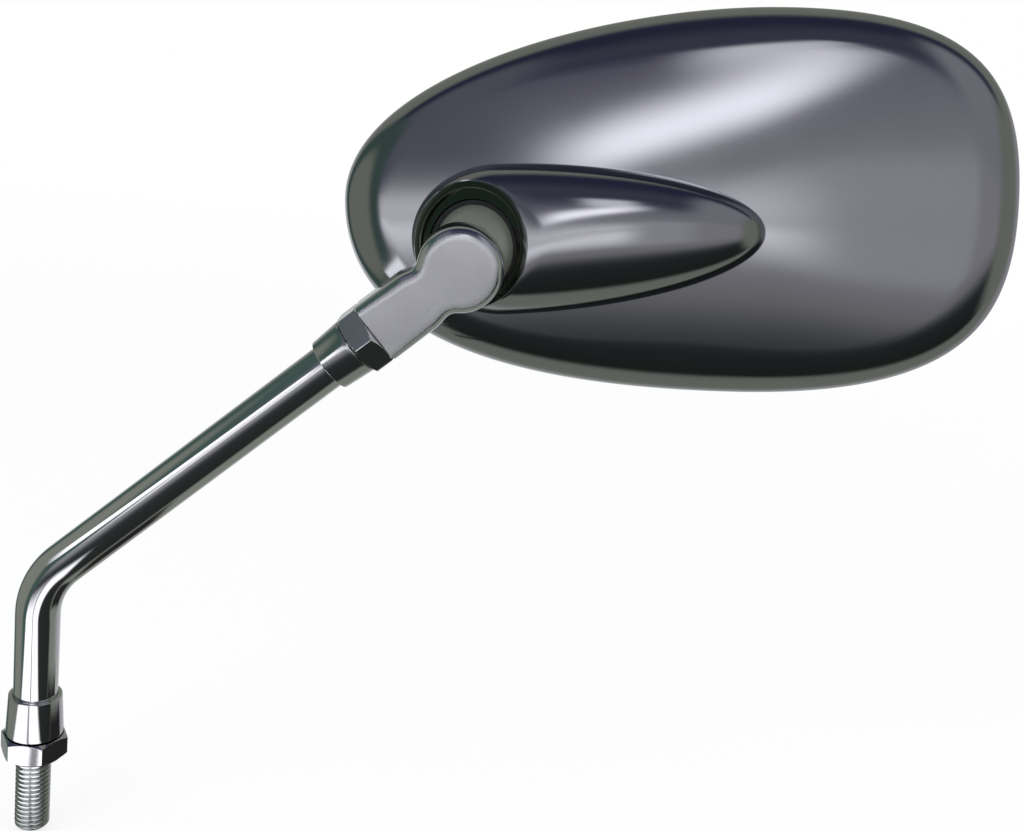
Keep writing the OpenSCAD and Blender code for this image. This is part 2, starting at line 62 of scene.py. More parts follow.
def joint_place(name):
    """Point and direction of one of the frame's hinges."""
    for joint in frame["record"]["behaviour"]["joints"]:
        if joint["name"] == name:
            return Vector(joint["pos_m"]), Vector(joint["axis"]).normalized()
    raise ValueError("no joint " + name)


def frame_from(origin, x, z):
    """Matrix of a right-handed frame at origin, with its z exact and its x as near as it can be."""
    z = z.normalized()
    y = z.cross(x).normalized()
    x = y.cross(z)
    turn = Matrix((x, y, z)).transposed().to_4x4()
    return Matrix.Translation(origin) @ turn


ARM_CENTRE, ARM_AXIS = joint_place("knuckle_turn")
BALL_CENTRE, NECK_AXIS = joint_place("ball_spin")
HOUSING_U = joint_place("ball_tilt")[1]
HOUSING_V = joint_place("ball_swing")[1]
NUT_SEAT = joint_place("upper_nut_turn")[0]
HOUSING_W = HOUSING_U.cross(HOUSING_V)

ROW_FRAME = Matrix.Identity(4)
UPPER_END_FRAME = frame_from(NUT_SEAT, Vector((0, 0, 1)).cross(ARM_AXIS).cross(ARM_AXIS), -ARM_AXIS)
ARM_FRAME = frame_from(ARM_CENTRE, Vector((0, 1, 0)).cross(ARM_AXIS), ARM_AXIS)
NECK_FRAME = frame_from(ARM_CENTRE, Vector((1, 0, 0)), NECK_AXIS)
HOUSING_FRAME = frame_from(BALL_CENTRE, HOUSING_U, HOUSING_W)


# ------------------------------------------------------------------ sizes and colours


def metres(name, description, default):
    """A length among a piece's sizes."""
    return FloatProperty(name=name, description=description, default=default, unit="LENGTH")


def tint(name, description, default):
    """A colour among a piece's sizes."""
    return FloatVectorProperty(
        name=name, description=description, default=default, subtype="COLOR", min=0, max=1)


class StemSizes(bpy.types.PropertyGroup):
    tube_radius: metres("Tube radius", "Outside radius of the bent tube", 0.00625)
    tube_wall: metres("Tube wall", "Wall of the bent tube", 0.002)
    corner: metres("Lower leg", "From the seat to the corner of the bend", 0.0552)
    bend_radius: metres("Bend radius", "Centre-line radius of the bend", 0.023)
    tube_end: metres("Tube end", "From a nut's seat to the end of the tube", 0.0096)
    thread_radius: metres("Thread radius", "Outside radius of the thread", 0.005)
    shank_radius: metres("Shank radius", "Radius of the studs inside nut and collar", 0.0048)
    pitch: metres("Pitch", "Pitch of the thread", 0.0015)
    stud_free: metres("Free stud", "Thread below the lower lock nut", 0.0238)
    plug_length: metres("Plug", "Length of the stud inside the tube", 0.014)
    nut_width: metres("Nut width", "Width across the flats of the lock nuts", 0.017)
    nut_height: metres("Nut height", "Thickness of the lock nuts", 0.007)
    low_collar: metres("Lower collar", "Length of the lower collar", 0.0126)
    high_collar: metres("Upper collar", "Length of the upper collar", 0.0093)
    collar_wall: metres("Collar wall", "Wall of the collars round the tube", 0.0013)
    collar_flare: metres("Collar flare", "Growth of a collar's radius towards its nut", 0.0006)
    plating: tint("Plating", "Colour of the stem's plating", (0.84, 0.84, 0.86))
    zinc: tint("Zinc", "Colour of the zinc-plated thread", (0.68, 0.70, 0.69))


class ArmSizes(bpy.types.PropertyGroup):
    length: metres("Arm length", "From the end face to the head's centre", 0.0284)
    width: metres("Arm width", "Width at the nut", 0.0176)
    thickness: metres("Arm thickness", "From the flat face to the back", 0.015)
    head_radius: metres("Head radius", "Radius of the round head", 0.0116)
    edge_radius: metres("Edge radius", "Rounding of the long edges", 0.0034)
    neck_start: metres("Neck start", "From the head's centre to the neck's foot", 0.0063)
    ball_radius: metres("Ball radius", "Radius of the ball", 0.014)
    neck_radius: metres("Neck radius", "Radius of the ball's neck", 0.008)
    plating: tint("Arm plating", "Colour of the arm", (0.82, 0.82, 0.86))
    ball_colour: tint("Ball plating", "Colour of the ball", (0.30, 0.32, 0.27))


class HousingSizes(bpy.types.PropertyGroup):
    wall: metres("Wall", "Wall of the shell", 0.002)
    rim_drop: metres("Rim drop", "From the ball's centre to the rim plane", 0.028)
    skirt: metres("Skirt", "Height of the straight skirt", 0.003)
    shoulder_height: metres("Shoulder height", "Rise of the rounded shoulder", 0.013)
    shoulder_width: metres("Shoulder width", "Width of the rounded shoulder", 0.016)
    crown: metres("Crown", "Rise of the dome to its middle", 0.007)
    mouth_height: metres("Mouth height", "From the ball's centre to the mouth", 0.009)
    mouth_tilt: FloatProperty(
        name="Mouth tilt", description="Tilt of the mouth towards the stem",
        default=math.radians(20), subtype="ANGLE")
    mouth_radius: metres("Mouth radius", "Outer radius of the mouth", 0.0176)
    lip_radius: metres("Lip radius", "Inner radius of the mouth's lip", 0.0154)
    mouth_rise: metres("Mouth rise", "Rise of the mouth over the ball's axis", 0.0012)
    columns: IntProperty(
        name="Columns", description="Quads round the shell", default=256, min=64, max=400)
    plating: tint("Shell plating", "Colour of the shell", (0.50, 0.50, 0.53))


class StudioSettings(bpy.types.PropertyGroup):
    floor_colour: tint("Floor", "Colour of the floor", (0.95, 0.95, 0.95))
    key_power: FloatProperty(
        name="Key light", description="Power of the key light", default=5.0, unit="POWER")
    fill_power: FloatProperty(
        name="Fill light", description="Power of the fill light", default=2.5, unit="POWER")


# ------------------------------------------------------------------ node helpers


class Graph:
    """One node tree that makes nodes from a type, settings and inputs."""

    def __init__(self, tree):
        self.tree = tree
        self.spot = 0

    def node(self, kind, settings=None, **inputs):
        node = self.tree.nodes.new(kind)
        node.location = (220 * (self.spot % 12), -260 * (self.spot // 12))
        self.spot += 1
        for name, value in (settings or {}).items():
            if name == "stops":
                fill_ramp(node.color_ramp, value)
            else:
                setattr(node, name, value)
        for name, value in inputs.items():
            self.feed(node, name, value)
        return node

    def feed(self, node, name, value):
        """Sets or links the input whose name, or number after an underscore, is given."""
        if name[0] == "_" and name[1:].isdigit():
            socket = node.inputs[int(name[1:])]
        else:
            socket = node.inputs[name.replace("_", " ")]
        if isinstance(value, Field):
            self.tree.links.new(value.socket, socket)
        elif isinstance(value, bpy.types.NodeSocket):
            self.tree.links.new(value, socket)
        else:
            socket.default_value = value

    def out(self, kind, settings=None, output=0, **inputs):
        return Field(self, self.node(kind, settings, **inputs).outputs[output])


def fill_ramp(ramp, stops):
    """Sets a colour ramp to (position, colour) stops."""
    while len(ramp.elements) > 1:
        ramp.elements.remove(ramp.elements[-1])
    ramp.elements[0].position = stops[0][0]
    ramp.elements[0].color = tuple(stops[0][1]) + (1.0,)
    for position, colour in stops[1:]:
        ramp.elements.new(position).color = tuple(colour) + (1.0,)


class Field:
    """A node socket that takes part in Python expressions."""

    def __init__(self, graph, socket):
        self.graph = graph
        self.socket = socket

    def math(self, operation, *others):
        inputs = {"_%d" % i: value for i, value in enumerate((self,) + others)}
        return self.graph.out("ShaderNodeMath", {"operation": operation}, **inputs)

    def __add__(self, other):
        return self.math("ADD", other)

    __radd__ = __add__

    def __sub__(self, other):
        return self.math("SUBTRACT", other)

    def __rsub__(self, other):
        return self.graph.out("ShaderNodeMath", {"operation": "SUBTRACT"}, _0=other, _1=self)

    def __mul__(self, other):
        return self.math("MULTIPLY", other)

    __rmul__ = __mul__

    def __truediv__(self, other):
        return self.math("DIVIDE", other)

    def __gt__(self, other):
        return self.math("GREATER_THAN", other)

    def least(self, other):
        return self.math("MINIMUM", other)

    def most(self, other):
        return self.math("MAXIMUM", other)

    def ramp(self, low, high, start=0.0, end=1.0):
        """Maps low..high smoothly to start..end, clamped."""
        return self.graph.out(
            "ShaderNodeMapRange", {"interpolation_type": "SMOOTHSTEP"},
            Value=self, From_Min=low, From_Max=high, To_Min=start, To_Max=end,
        )


def mixed(graph, factor, first, second, blend="MIX"):
    """Colour mix of two colours or links."""
    first, second = (c if isinstance(c, Field) else tuple(c) + (1.0,) for c in (first, second))
    settings = {"data_type": "RGBA", "blend_type": blend}
    return graph.out("ShaderNodeMix", settings, output=2, _0=factor, _6=first, _7=second)


def noise(graph, vector, scale, detail, roughness=0.5):
    """Noise of the given cells per metre, from 0 to 1."""
    return graph.out("ShaderNodeTexNoise", None, Vector=vector, Scale=scale, Detail=detail, Roughness=roughness)


def object_place(graph):
    """Object coordinates, which are the frame's own, as every piece sits at the origin."""
    return graph.out("ShaderNodeTexCoord", None, output=3)


def vector_math(graph, operation, first, second=(0, 0, 0), output=0):
    return graph.out("ShaderNodeVectorMath", {"operation": operation}, output=output, _0=first, _1=second)


def split(graph, vector):
    """The three parts of a vector."""
    return [Field(graph, part) for part in graph.node("ShaderNodeSeparateXYZ", None, Vector=vector).outputs]


def blank_material(name):
    """A new material with its graph and its output node."""
    material = bpy.data.materials.new(name)
    material.use_nodes = True
    material.node_tree.nodes.clear()
    graph = Graph(material.node_tree)
    return material, graph, graph.node("ShaderNodeOutputMaterial")


# ------------------------------------------------------------------ finishes


# Painted shade inside the shell's mouth: the colour it darkens the plating to, and the width of its soft edge
MOUTH_PAINTED_SHADE = (0.13, 0.14, 0.115)
MOUTH_SHADE_FADE = 0.0003
ZINC_COLOUR = (0.55, 0.55, 0.53)


def start_finish(name, metallic=0.0):
    """A new material with its graph, Principled shader and Object coordinates."""
    material, graph, output = blank_material(name)
    shader = graph.node("ShaderNodeBsdfPrincipled", None, Metallic=metallic)
    graph.feed(output, "Surface", shader.outputs[0])
    return material, graph, shader, object_place(graph)


def grain_normal(graph, shader, height, strength, distance=0.0001):
    """Feeds a bump of the given height field to the shader's normal."""
    bump = graph.out("ShaderNodeBump", None, Strength=strength, Distance=distance, Height=height)
    graph.feed(shader, "Normal", bump)


def plated(name, colour, smooth, rough, cell=900.0, bump=0.0, cloud=0.04, metallic=1.0, mouth=None):
    """Metal plating, clouded in colour and polish, with painted shade that darkens it inside a round mouth
    where one is given.
    """
    material, graph, shader, place = start_finish(name, metallic)
    clouds = noise(graph, place, 60.0, 3.0)
    fine = noise(graph, place, cell, 2.0, 0.6)
    paint = mixed(graph, clouds, tuple(c * (1 - 2 * cloud) for c in colour), colour)
    # Painted shade: within the mouth's radius of its axis the plating's colour turns to the mouth's shade
    # colour
    if mouth:
        centre, axis, radius = mouth
        side = vector_math(graph, "CROSS_PRODUCT", vector_math(graph, "SUBTRACT", place, centre), axis)
        far = vector_math(graph, "LENGTH", side, output=1)
        paint = mixed(graph, far.ramp(radius - MOUTH_SHADE_FADE, radius), MOUTH_PAINTED_SHADE, paint)
    graph.feed(shader, "Base Color", paint)
    graph.feed(shader, "Roughness", smooth + (clouds * 0.5 + fine * 0.5) * (rough - smooth))
    if bump:
        grain_normal(graph, shader, fine, bump)
    return material


def satin_face(name, colour, front):
    """Bright plated casting whose flat front face, at y = front, is blasted to a speckled satin."""
    material, graph, shader, place = start_finish(name)
    y = split(graph, place)[1]
    face = 1 - y.ramp(front + 0.0001, front + 0.0007)
    clouds = noise(graph, place, 90.0, 3.0)
    fine = noise(graph, place, 1500.0, 3.0, 0.6)
    dull, bright = (tuple(c * share for c in colour) for share in (0.62, 0.9))
    satin = mixed(graph, clouds * 0.6 + fine * 0.4, dull, bright)
    graph.feed(shader, "Base Color", mixed(graph, face, colour, satin))
    graph.feed(shader, "Metallic", 1 - face * 0.35)
    graph.feed(shader, "Roughness", 0.07 + fine * 0.05 + face * 0.19)
    grain_normal(graph, shader, face * fine, 0.12)
    return material


def plastic(name, colour, rough, cell=1400.0, bump=0.15):
    """Moulded plastic or foam with a fine grain."""
    material, graph, shader, place = start_finish(name)
    clouds = noise(graph, place, 40.0, 2.0)
    fine = noise(graph, place, cell, 3.0, 0.7)
    pale = tuple(min(c * 1.5 + 0.004, 1) for c in colour)
    graph.feed(shader, "Base Color", mixed(graph, clouds, colour, pale))
    graph.feed(shader, "Roughness", rough + (fine - 0.5) * 0.16)
    grain_normal(graph, shader, fine, bump)
    return material


def silvered(name):
    """Silvered glass: a bright mirror under a clear coat, with a faint film of dust."""
    material, graph, shader, place = start_finish(name, 1.0)
    graph.feed(shader, "Coat Weight", 1.0)
    graph.feed(shader, "Coat Roughness", 0.01)
    film = noise(graph, place, 25.0, 4.0, 0.6)
    graph.feed(shader, "Base Color", mixed(graph, film, (0.84, 0.86, 0.87), (0.9, 0.92, 0.93)))
    graph.feed(shader, "Roughness", 0.006 + film * 0.012)
    return material


def turned(name, colour, low, high):
    """Turned steel with a fine grain and clouds of polish."""
    material, graph, shader, place = start_finish(name, 1.0)
    clouds = noise(graph, place, 120.0, 3.0)
    fine = noise(graph, place, 2600.0, 2.0, 0.7)
    dull = tuple(c * 0.8 for c in colour)
    graph.feed(shader, "Base Color", mixed(graph, clouds, dull, colour))
    graph.feed(shader, "Roughness", low + fine * (high - low))
    grain_normal(graph, shader, fine, 0.08, 0.00005)
    return material


def threaded_zinc(name, colour, radius):
    """Zinc on a thread: the crests keep the zinc's colour, and painted shade darkens the roots."""
    material, graph, shader, place = start_finish(name, 1.0)
    x, y = split(graph, place)[:2]
    far = (x * x + y * y).math("SQRT")
    # Painted shade: the roots, below the crests, are darkened to three tenths of the zinc's colour
    crest = far.ramp(radius - 0.0006, radius - 0.0002)
    grain = noise(graph, place, 1500.0, 3.0, 0.6)
    painted_root_shade = tuple(c * 0.3 for c in colour)
    graph.feed(shader, "Base Color", mixed(graph, crest, painted_root_shade, colour))
    graph.feed(shader, "Roughness", 0.26 + grain * 0.14 - crest * 0.16)
    grain_normal(graph, shader, grain, 0.2, 0.00008)
    return material


# ------------------------------------------------------------------ mesh helpers


TURNED_SEGMENTS = 128


def shade(mesh, smooth_angle):
    """Shades a mesh smooth but for edges sharper than the angle."""
    mesh.polygons.foreach_set("use_smooth", [True] * len(mesh.polygons))
    mesh.set_sharp_from_angle(angle=math.radians(smooth_angle))


def to_mesh(name, points, faces, smooth_angle):
    """A smooth mesh that is split at edges sharper than the angle."""
    mesh = bpy.data.meshes.new(name)
    mesh.from_pydata([tuple(p) for p in points], [], faces)
    mesh.validate()
    shade(mesh, smooth_angle)
    mesh.update()
    return mesh


def placed(points, matrix):
    """Points, as rows, moved by a 4x4 matrix."""
    m = np.array(matrix)
    return np.asarray(points, float) @ m[:3, :3].T + m[:3, 3]


def linked(name, data):
    """A new object in the scene."""
    thing = bpy.data.objects.new(name, data)
    bpy.context.scene.collection.objects.link(thing)
    return thing


def level(points, height):
    """Flat points, as rows, at one height."""
    return np.column_stack((points, np.full(len(points), height)))


def add_piece(name, mesh, material, body, slot, *nodes):
    """Puts a finished mesh in the scene as the piece that stands for its nodes."""
    piece = linked(name, mesh)
    mesh.materials.clear()
    mesh.materials.append(material)
    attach(piece, body)
    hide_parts(*nodes)
    return piece


def paint_nodes(material, *nodes):
    """Gives carried-over solids their finish."""
    for node in nodes:
        mesh = frame["nodes"][node].data
        mesh.materials.clear()
        mesh.materials.append(material)


def outward(mesh):
    """Turns a closed mesh's faces outwards."""
    bm = bmesh.new()
    bm.from_mesh(mesh)
    bmesh.ops.remove_doubles(bm, verts=bm.verts, dist=1e-7)
    bmesh.ops.recalc_face_normals(bm, faces=bm.faces)
    bm.to_mesh(mesh)
    bm.free()
    return mesh


def turned_mesh(name, profile, matrix):
    """A turned solid from a closed profile of (radius, height) points."""
    angles = np.arange(TURNED_SEGMENTS) * TURN / TURNED_SEGMENTS
    circle = np.column_stack((np.cos(angles), np.sin(angles)))
    loops = [placed(level(radius * circle, height), matrix) for radius, height in profile]
    return closed_loops(name, loops, ring=True)


def rounded(profile, radius):
    """Rounds each corner of a profile of (radius, height) points but its two ends."""
    steps = 5
    out = [profile[0]]
    for before, here, after in zip(profile, profile[1:], profile[2:]):
        p, q, r = (np.array(x, float) for x in (before, here, after))
        a, b = p - q, r - q
        cut = min(radius, 0.45 * np.linalg.norm(a), 0.45 * np.linalg.norm(b))
        a, b = q + a / np.linalg.norm(a) * cut, q + b / np.linalg.norm(b) * cut
        for i in range(steps + 1):
            t = i / steps
            out.append(tuple((1 - t) ** 2 * a + 2 * (1 - t) * t * q + t * t * b))
    out.append(profile[-1])
    return out


def closed_loops(name, loops, smooth_angle=32, ring=False):
    """Skins a stack of equal loops; ring joins the last to the first, or else both ends are capped."""
    count, size = len(loops), len(loops[0])
    points = np.concatenate(loops)
    faces = []
    for i in range(count if ring else count - 1):
        low, high = i * size, ((i + 1) % count) * size
        for j in range(size):
            k = (j + 1) % size
            faces.append((low + j, low + k, high + k, high + j))
    if not ring:
        faces.append(tuple(range(size)))
        faces.append(tuple(range(len(points) - size, len(points))))
    return outward(to_mesh(name, points, faces, smooth_angle))


# ------------------------------------------------------------------ the shell's shape


OUTLINE_LEFT = (-0.0450, 0.0140)
OUTLINE_RIGHT = (0.1534, 0.0140)
OUTLINE_TOP = (0.0814, 0.0711)
OUTLINE_BOTTOM = (0.0723, -0.0413)
QUARTERS = (
    (OUTLINE_RIGHT, OUTLINE_TOP, (0.67, 0.80), True, 3),
    (OUTLINE_TOP, OUTLINE_LEFT, (0.42, 0.62), False, 5),
    (OUTLINE_LEFT, OUTLINE_BOTTOM, (0.81, 0.50), True, 5),
    (OUTLINE_BOTTOM, OUTLINE_RIGHT, (0.84, 0.60), False, 3),
)
MIDDLE = np.array((0.060, 0.014))
NACELLE_U = 0.0046
NACELLE_V = 0.0028
NACELLE_SLOPE = math.tan(math.radians(2.4))
NACELLE_HALF = 0.0215
NACELLE_HEIGHT = 0.0215
NACELLE_FRONT = 0.0262
NACELLE_REAR = 0.0748
SHOULDER_POWER = 2.3
ARCH_POWER = 2.75
PLAN_POWER = 1.8
CREST_POWER = 2.2


def bezier(p, t):
    t = np.asarray(t)[:, None]
    return (1 - t) ** 3 * p[0] + 3 * (1 - t) ** 2 * t * p[1] + 3 * (1 - t) * t * t * p[2] + t ** 3 * p[3]


def quarter(a, b, full, upright):
    """Control points of a quarter between two extreme points."""
    a, b = np.array(a), np.array(b)
    d = b - a
    run, rise = np.array((d[0], 0)), np.array((0, d[1]))
    first, last = (rise, run) if upright else (run, rise)
    return [a, a + full[0] * first, b - full[1] * last, b]


def shell_outline(columns):
    """The rim's outline, anticlockwise in the housing frame."""
    parts = []
    for a, b, full, upright, share in QUARTERS:
        steps = columns * share // 16
        parts.append(bezier(quarter(a, b, full, upright), np.arange(steps) / steps))
    return np.concatenate(parts)


def inset(points, gap):
    """The outline moved inwards along its normals."""
    along = np.roll(points, -1, 0) - np.roll(points, 1, 0)
    along /= np.linalg.norm(along, axis=1)[:, None]
    return points + gap * np.stack((-along[:, 1], along[:, 0]), 1)


class Skin:
    """Height of the shell's surface over the rim's plane, for the outside or, with a cut, the inside."""

    def __init__(self, sizes, outline, cut=0.0):
        self.sizes = sizes
        self.cut = cut
        self.drop = sizes.wall if cut else 0.0
        d = outline - MIDDLE
        turn = np.arctan2(d[:, 1], d[:, 0]) % TURN
        order = np.argsort(turn)
        self.turns = turn[order]
        self.fars = np.linalg.norm(d, axis=1)[order]

    def dome(self, p):
        d = p - MIDDLE
        far = np.linalg.norm(d, axis=-1)
        edge = np.interp(np.arctan2(d[..., 1], d[..., 0]) % TURN, self.turns, self.fars, period=TURN)
        s = self.sizes
        x = np.clip((edge - far) / s.shoulder_width, 0, 1)
        rise = (1 - (1 - x) ** SHOULDER_POWER) ** (1 / SHOULDER_POWER)
        share = np.minimum(far / edge, 1)
        return s.skirt - s.rim_drop + s.shoulder_height * rise + s.crown * (1 - share ** 2)

    def plan(self, p):
        u = p[..., 0]
        behind = np.maximum(u - NACELLE_U, 0) / (NACELLE_REAR - self.cut)
        front = np.maximum(NACELLE_U - u, 0) / (NACELLE_FRONT - self.cut)
        off = p[..., 1] - NACELLE_V - NACELLE_SLOPE * np.maximum(u - NACELLE_U, 0)
        return behind, front, off

    def foot(self, p):
        behind, front, off = self.plan(p)
        return front ** 2 + behind ** PLAN_POWER + (off / (NACELLE_HALF - self.cut)) ** 2

    def arch(self, p):
        behind, front, off = self.plan(p)
        x = np.minimum(behind, 1)
        half = (NACELLE_HALF - self.cut) * np.sqrt(np.maximum(1 - x ** PLAN_POWER, 1e-6))
        r = np.minimum(np.hypot(front, off / half), 1)
        crest = np.sqrt(np.maximum(1 - x ** CREST_POWER, 0))
        return NACELLE_HEIGHT * crest * (1 - r ** ARCH_POWER) ** (1 / ARCH_POWER)

    def height(self, p):
        return self.dome(p) - self.drop + self.arch(p)


def mouth_plan(sizes):
    """The mouth's middle in the rim's plane."""
    return np.array((-sizes.mouth_height * math.sin(sizes.mouth_tilt), sizes.mouth_rise))


def mouth_points(sizes, toward, radius, height, rise=None):
    """Points on a circle about the mouth's axis that face the given outline points."""
    t = sizes.mouth_tilt
    rise = sizes.mouth_rise if rise is None else rise
    axis = np.array((-math.sin(t), 0, math.cos(t)))
    across = np.array((math.cos(t), 0, math.sin(t)))
    d = toward - mouth_plan(sizes)
    turn = np.arctan2(d[:, 1], d[:, 0] / math.cos(t))[:, None]
    centre = height * axis + np.array((0, rise, 0))
    return centre + radius * (np.cos(turn) * across + np.sin(turn) * np.array((0, 1, 0)))


def skin_loops(sizes, skin, target, radius, drop, counts):
    """Loops of the skin from the mouth's edge out to the shell's edge."""
    halvings, crowding, shoulder_share, span_share = 40, 2.4, 1.15, 0.8
    rim = mouth_points(sizes, target, radius, sizes.mouth_height) - np.array((0, 0, drop))
    rim_plan = rim[:, :2]
    plan = mouth_plan(sizes)
    low, high = np.zeros(len(target)), np.ones(len(target))
    for _ in range(halvings):
        mid = (low + high) / 2
        inside = skin.foot(plan + mid[:, None] * (target - plan)) < 1
        low, high = np.where(inside, mid, low), np.where(inside, high, mid)
    foot = plan + low[:, None] * (target - plan)
    fix = rim[:, 2] - skin.height(rim_plan)
    span = np.linalg.norm(target - foot, axis=1)
    bend = np.minimum(sizes.shoulder_width * shoulder_share, span * span_share)
    loops = [rim]
    nacelle, dome, shoulder = counts
    for k in range(1, nacelle + 1):
        t = 1 - (1 - k / nacelle) ** crowding
        p = rim_plan + t * (foot - rim_plan)
        loops.append(np.column_stack((p, skin.height(p) + (1 - t) * fix)))
    shares = [k / dome * (1 - bend / span) for k in range(1, dome + 1)]
    shares += [1 - bend / span * (1 - math.sin(math.pi / 2 * k / shoulder)) for k in range(1, shoulder + 1)]
    for share in shares:
        p = foot + share[:, None] * (target - foot)
        loops.append(np.column_stack((p, skin.height(p))))
    return loops


# Radius of the room that the rear cup turns in, and how far it reaches past the ball's centre
CUP_ROOM = 0.0156
CUP_REACH = 0.002


def clear_of(points, radius):
    """The points, those within the cup's reach moved out of a sphere about the ball's centre."""
    far = np.linalg.norm(points, axis=1)[:, None]
    return points * np.where(points[:, 2:] < CUP_REACH, np.maximum(1, radius / far), 1)


# ------------------------------------------------------------------ pieces of the stem


def start_tree(name, result, **inputs):
    """A geometry-nodes tree with its graph and its inputs, given as name=kind with _ for a space."""
    tree = bpy.data.node_groups.new(name, "GeometryNodeTree")
    for label, kind in inputs.items():
        tree.interface.new_socket(label.replace("_", " "), in_out="INPUT", socket_type="NodeSocket" + kind)
    tree.interface.new_socket(result, in_out="OUTPUT", socket_type="NodeSocketGeometry")
    graph = Graph(tree)
    given = {s.name: Field(graph, s) for s in graph.node("NodeGroupInput").outputs if s.name}
    return tree, graph, given


def end_tree(graph, result, geometry, finish):
    """Smooths, realizes and paints the geometry and hands it out."""
    smooth = graph.out("GeometryNodeSetShadeSmooth", None, Geometry=geometry)
    real = graph.out("GeometryNodeRealizeInstances", None, Geometry=smooth)
    painted = graph.out("GeometryNodeSetMaterial", None, Geometry=real, Material=finish)
    graph.node("NodeGroupOutput", None, **{result: painted})


def tube_tree(name):
    """Geometry nodes that fillet a path and sweep a circle along it."""
    tree, graph, given = start_tree(
        name, "Tube", Path="Geometry", Radius="Float", Bend_Radius="Float", Bend_Steps="Int", Spacing="Float",
        Segments="Int", Finish="Material")
    path = graph.out("GeometryNodeMeshToCurve", None, Mesh=given["Path"])
    bent = graph.out("GeometryNodeFilletCurve", {"mode": "POLY"}, Curve=path, Count=given["Bend Steps"],
                     Radius=given["Bend Radius"])
    even = graph.out("GeometryNodeResampleCurve", {"mode": "LENGTH"}, Curve=bent, Length=given["Spacing"])
    circle = graph.out("GeometryNodeCurvePrimitiveCircle", {"mode": "RADIUS"}, Resolution=given["Segments"],
                       Radius=given["Radius"])
    swept = graph.out("GeometryNodeCurveToMesh", None, Curve=even, Profile_Curve=circle)
    end_tree(graph, "Tube", swept, given["Finish"])
    return tree


def thread_tree(name):
    """Geometry nodes that cut a screw thread into a rod by moving its points."""
    tree, graph, given = start_tree(
        name, "Stud", Rod="Geometry", Radius="Float", Pitch="Float", Depth="Float", Low="Float", High="Float",
        Tip="Float", Shank_Radius="Float", Plug="Float", Plug_Radius="Float", Segments="Int", Steps="Int",
        Finish="Material")
    crest, flank, run_out, nose_share = 0.34, 0.52, 0.0012, 0.4
    length = given["High"] - given["Low"]
    rod = graph.out("GeometryNodeMeshCylinder", {"fill_type": "TRIANGLE_FAN"}, Vertices=given["Segments"],
                    Side_Segments=given["Steps"], Fill_Segments=1, Radius=given["Radius"], Depth=length)
    spot = graph.node("GeometryNodeInputPosition").outputs[0]
    x, y, z = split(graph, spot)
    z = z + (given["High"] + given["Low"]) / 2
    turns = y.math("ARCTAN2", x) / TURN
    phase = (z / given["Pitch"] - turns).math("FRACT")
    ridge = (1 - ((phase - 0.5).math("ABSOLUTE") * 2 - crest) / flank).least(1).most(0)
    fade = z.ramp(given["Low"], given["Low"] + run_out)
    cut = given["Depth"] * (1 - ridge) * fade
    tip = ((z - given["Low"]) / given["Tip"]).least(1).most(0)
    nose = (1 - (1 - tip) * (1 - tip)).math("SQRT")
    shape = (given["Radius"] - cut) * (1 - nose_share + nose * nose_share)
    shape = shape + (z > 0.0) * (given["Shank Radius"] - shape)
    shape = shape + (z > given["Plug"]) * (given["Plug Radius"] - shape)
    scale = shape / given["Radius"]
    moved = graph.out("ShaderNodeCombineXYZ", None, X=x * scale, Y=y * scale, Z=z)
    cut_rod = graph.out("GeometryNodeSetPosition", None, Geometry=rod, Position=moved)
    end_tree(graph, "Stud", cut_rod, given["Finish"])
    return tree


def grown(name, tree, start, values):
    """The plain mesh that a geometry-nodes tree makes from a start mesh and named values."""
    carrier = linked(name + "_start", start)
    modifier = carrier.modifiers.new("Nodes", "NODES")
    modifier.node_group = tree
    keys = {s.name: s.identifier for s in tree.interface.items_tree if s.in_out == "INPUT"}
    for label, value in values.items():
        modifier[keys[label]] = value
    depsgraph = bpy.context.evaluated_depsgraph_get()
    depsgraph.update()
    mesh = bpy.data.meshes.new_from_object(carrier.evaluated_get(depsgraph))
    mesh.name = name
    carrier.modifiers.remove(modifier)
    bpy.data.objects.remove(carrier)
    return mesh


def nut_mesh(name, sizes, matrix, turn):
    """A hexagon nut with its corners cut back by a cone and its bore countersunk at both faces."""
    play, countersink, face_share, chamfer_share = 0.00005, 0.00095, 0.985, 1.35
    half = sizes.nut_width / 2
    corner = half / math.cos(math.radians(30))
    height = sizes.nut_height
    bore = sizes.shank_radius + play
    mouth = sizes.thread_radius + countersink
    slope = math.tan(math.radians(30))
    sink = (mouth - bore) * slope
    chamfer = (corner - half) * chamfer_share * slope
    levels = np.concatenate((np.linspace(0, chamfer, 14), np.linspace(height - chamfer, height, 14)))
    segments = 240
    angles = np.arange(segments) * TURN / segments
    hexagon = half / np.cos((angles - turn) % (math.pi / 3) - math.pi / 6)
    circle = np.column_stack((np.cos(angles), np.sin(angles)))
    edge = half * face_share
    rings = [(mouth, 0), (edge, 0)]
    for z in levels:
        inward = max(chamfer - z, z - height + chamfer, 0)
        rings.append((np.minimum(hexagon, corner - inward / slope)[:, None], z))
    rings += [(edge, height), (mouth, height), (bore, height - sink), (bore, sink)]
    loops = [placed(level(radius * circle, z), matrix) for radius, z in rings]
    return closed_loops(name, loops, 24, ring=True)


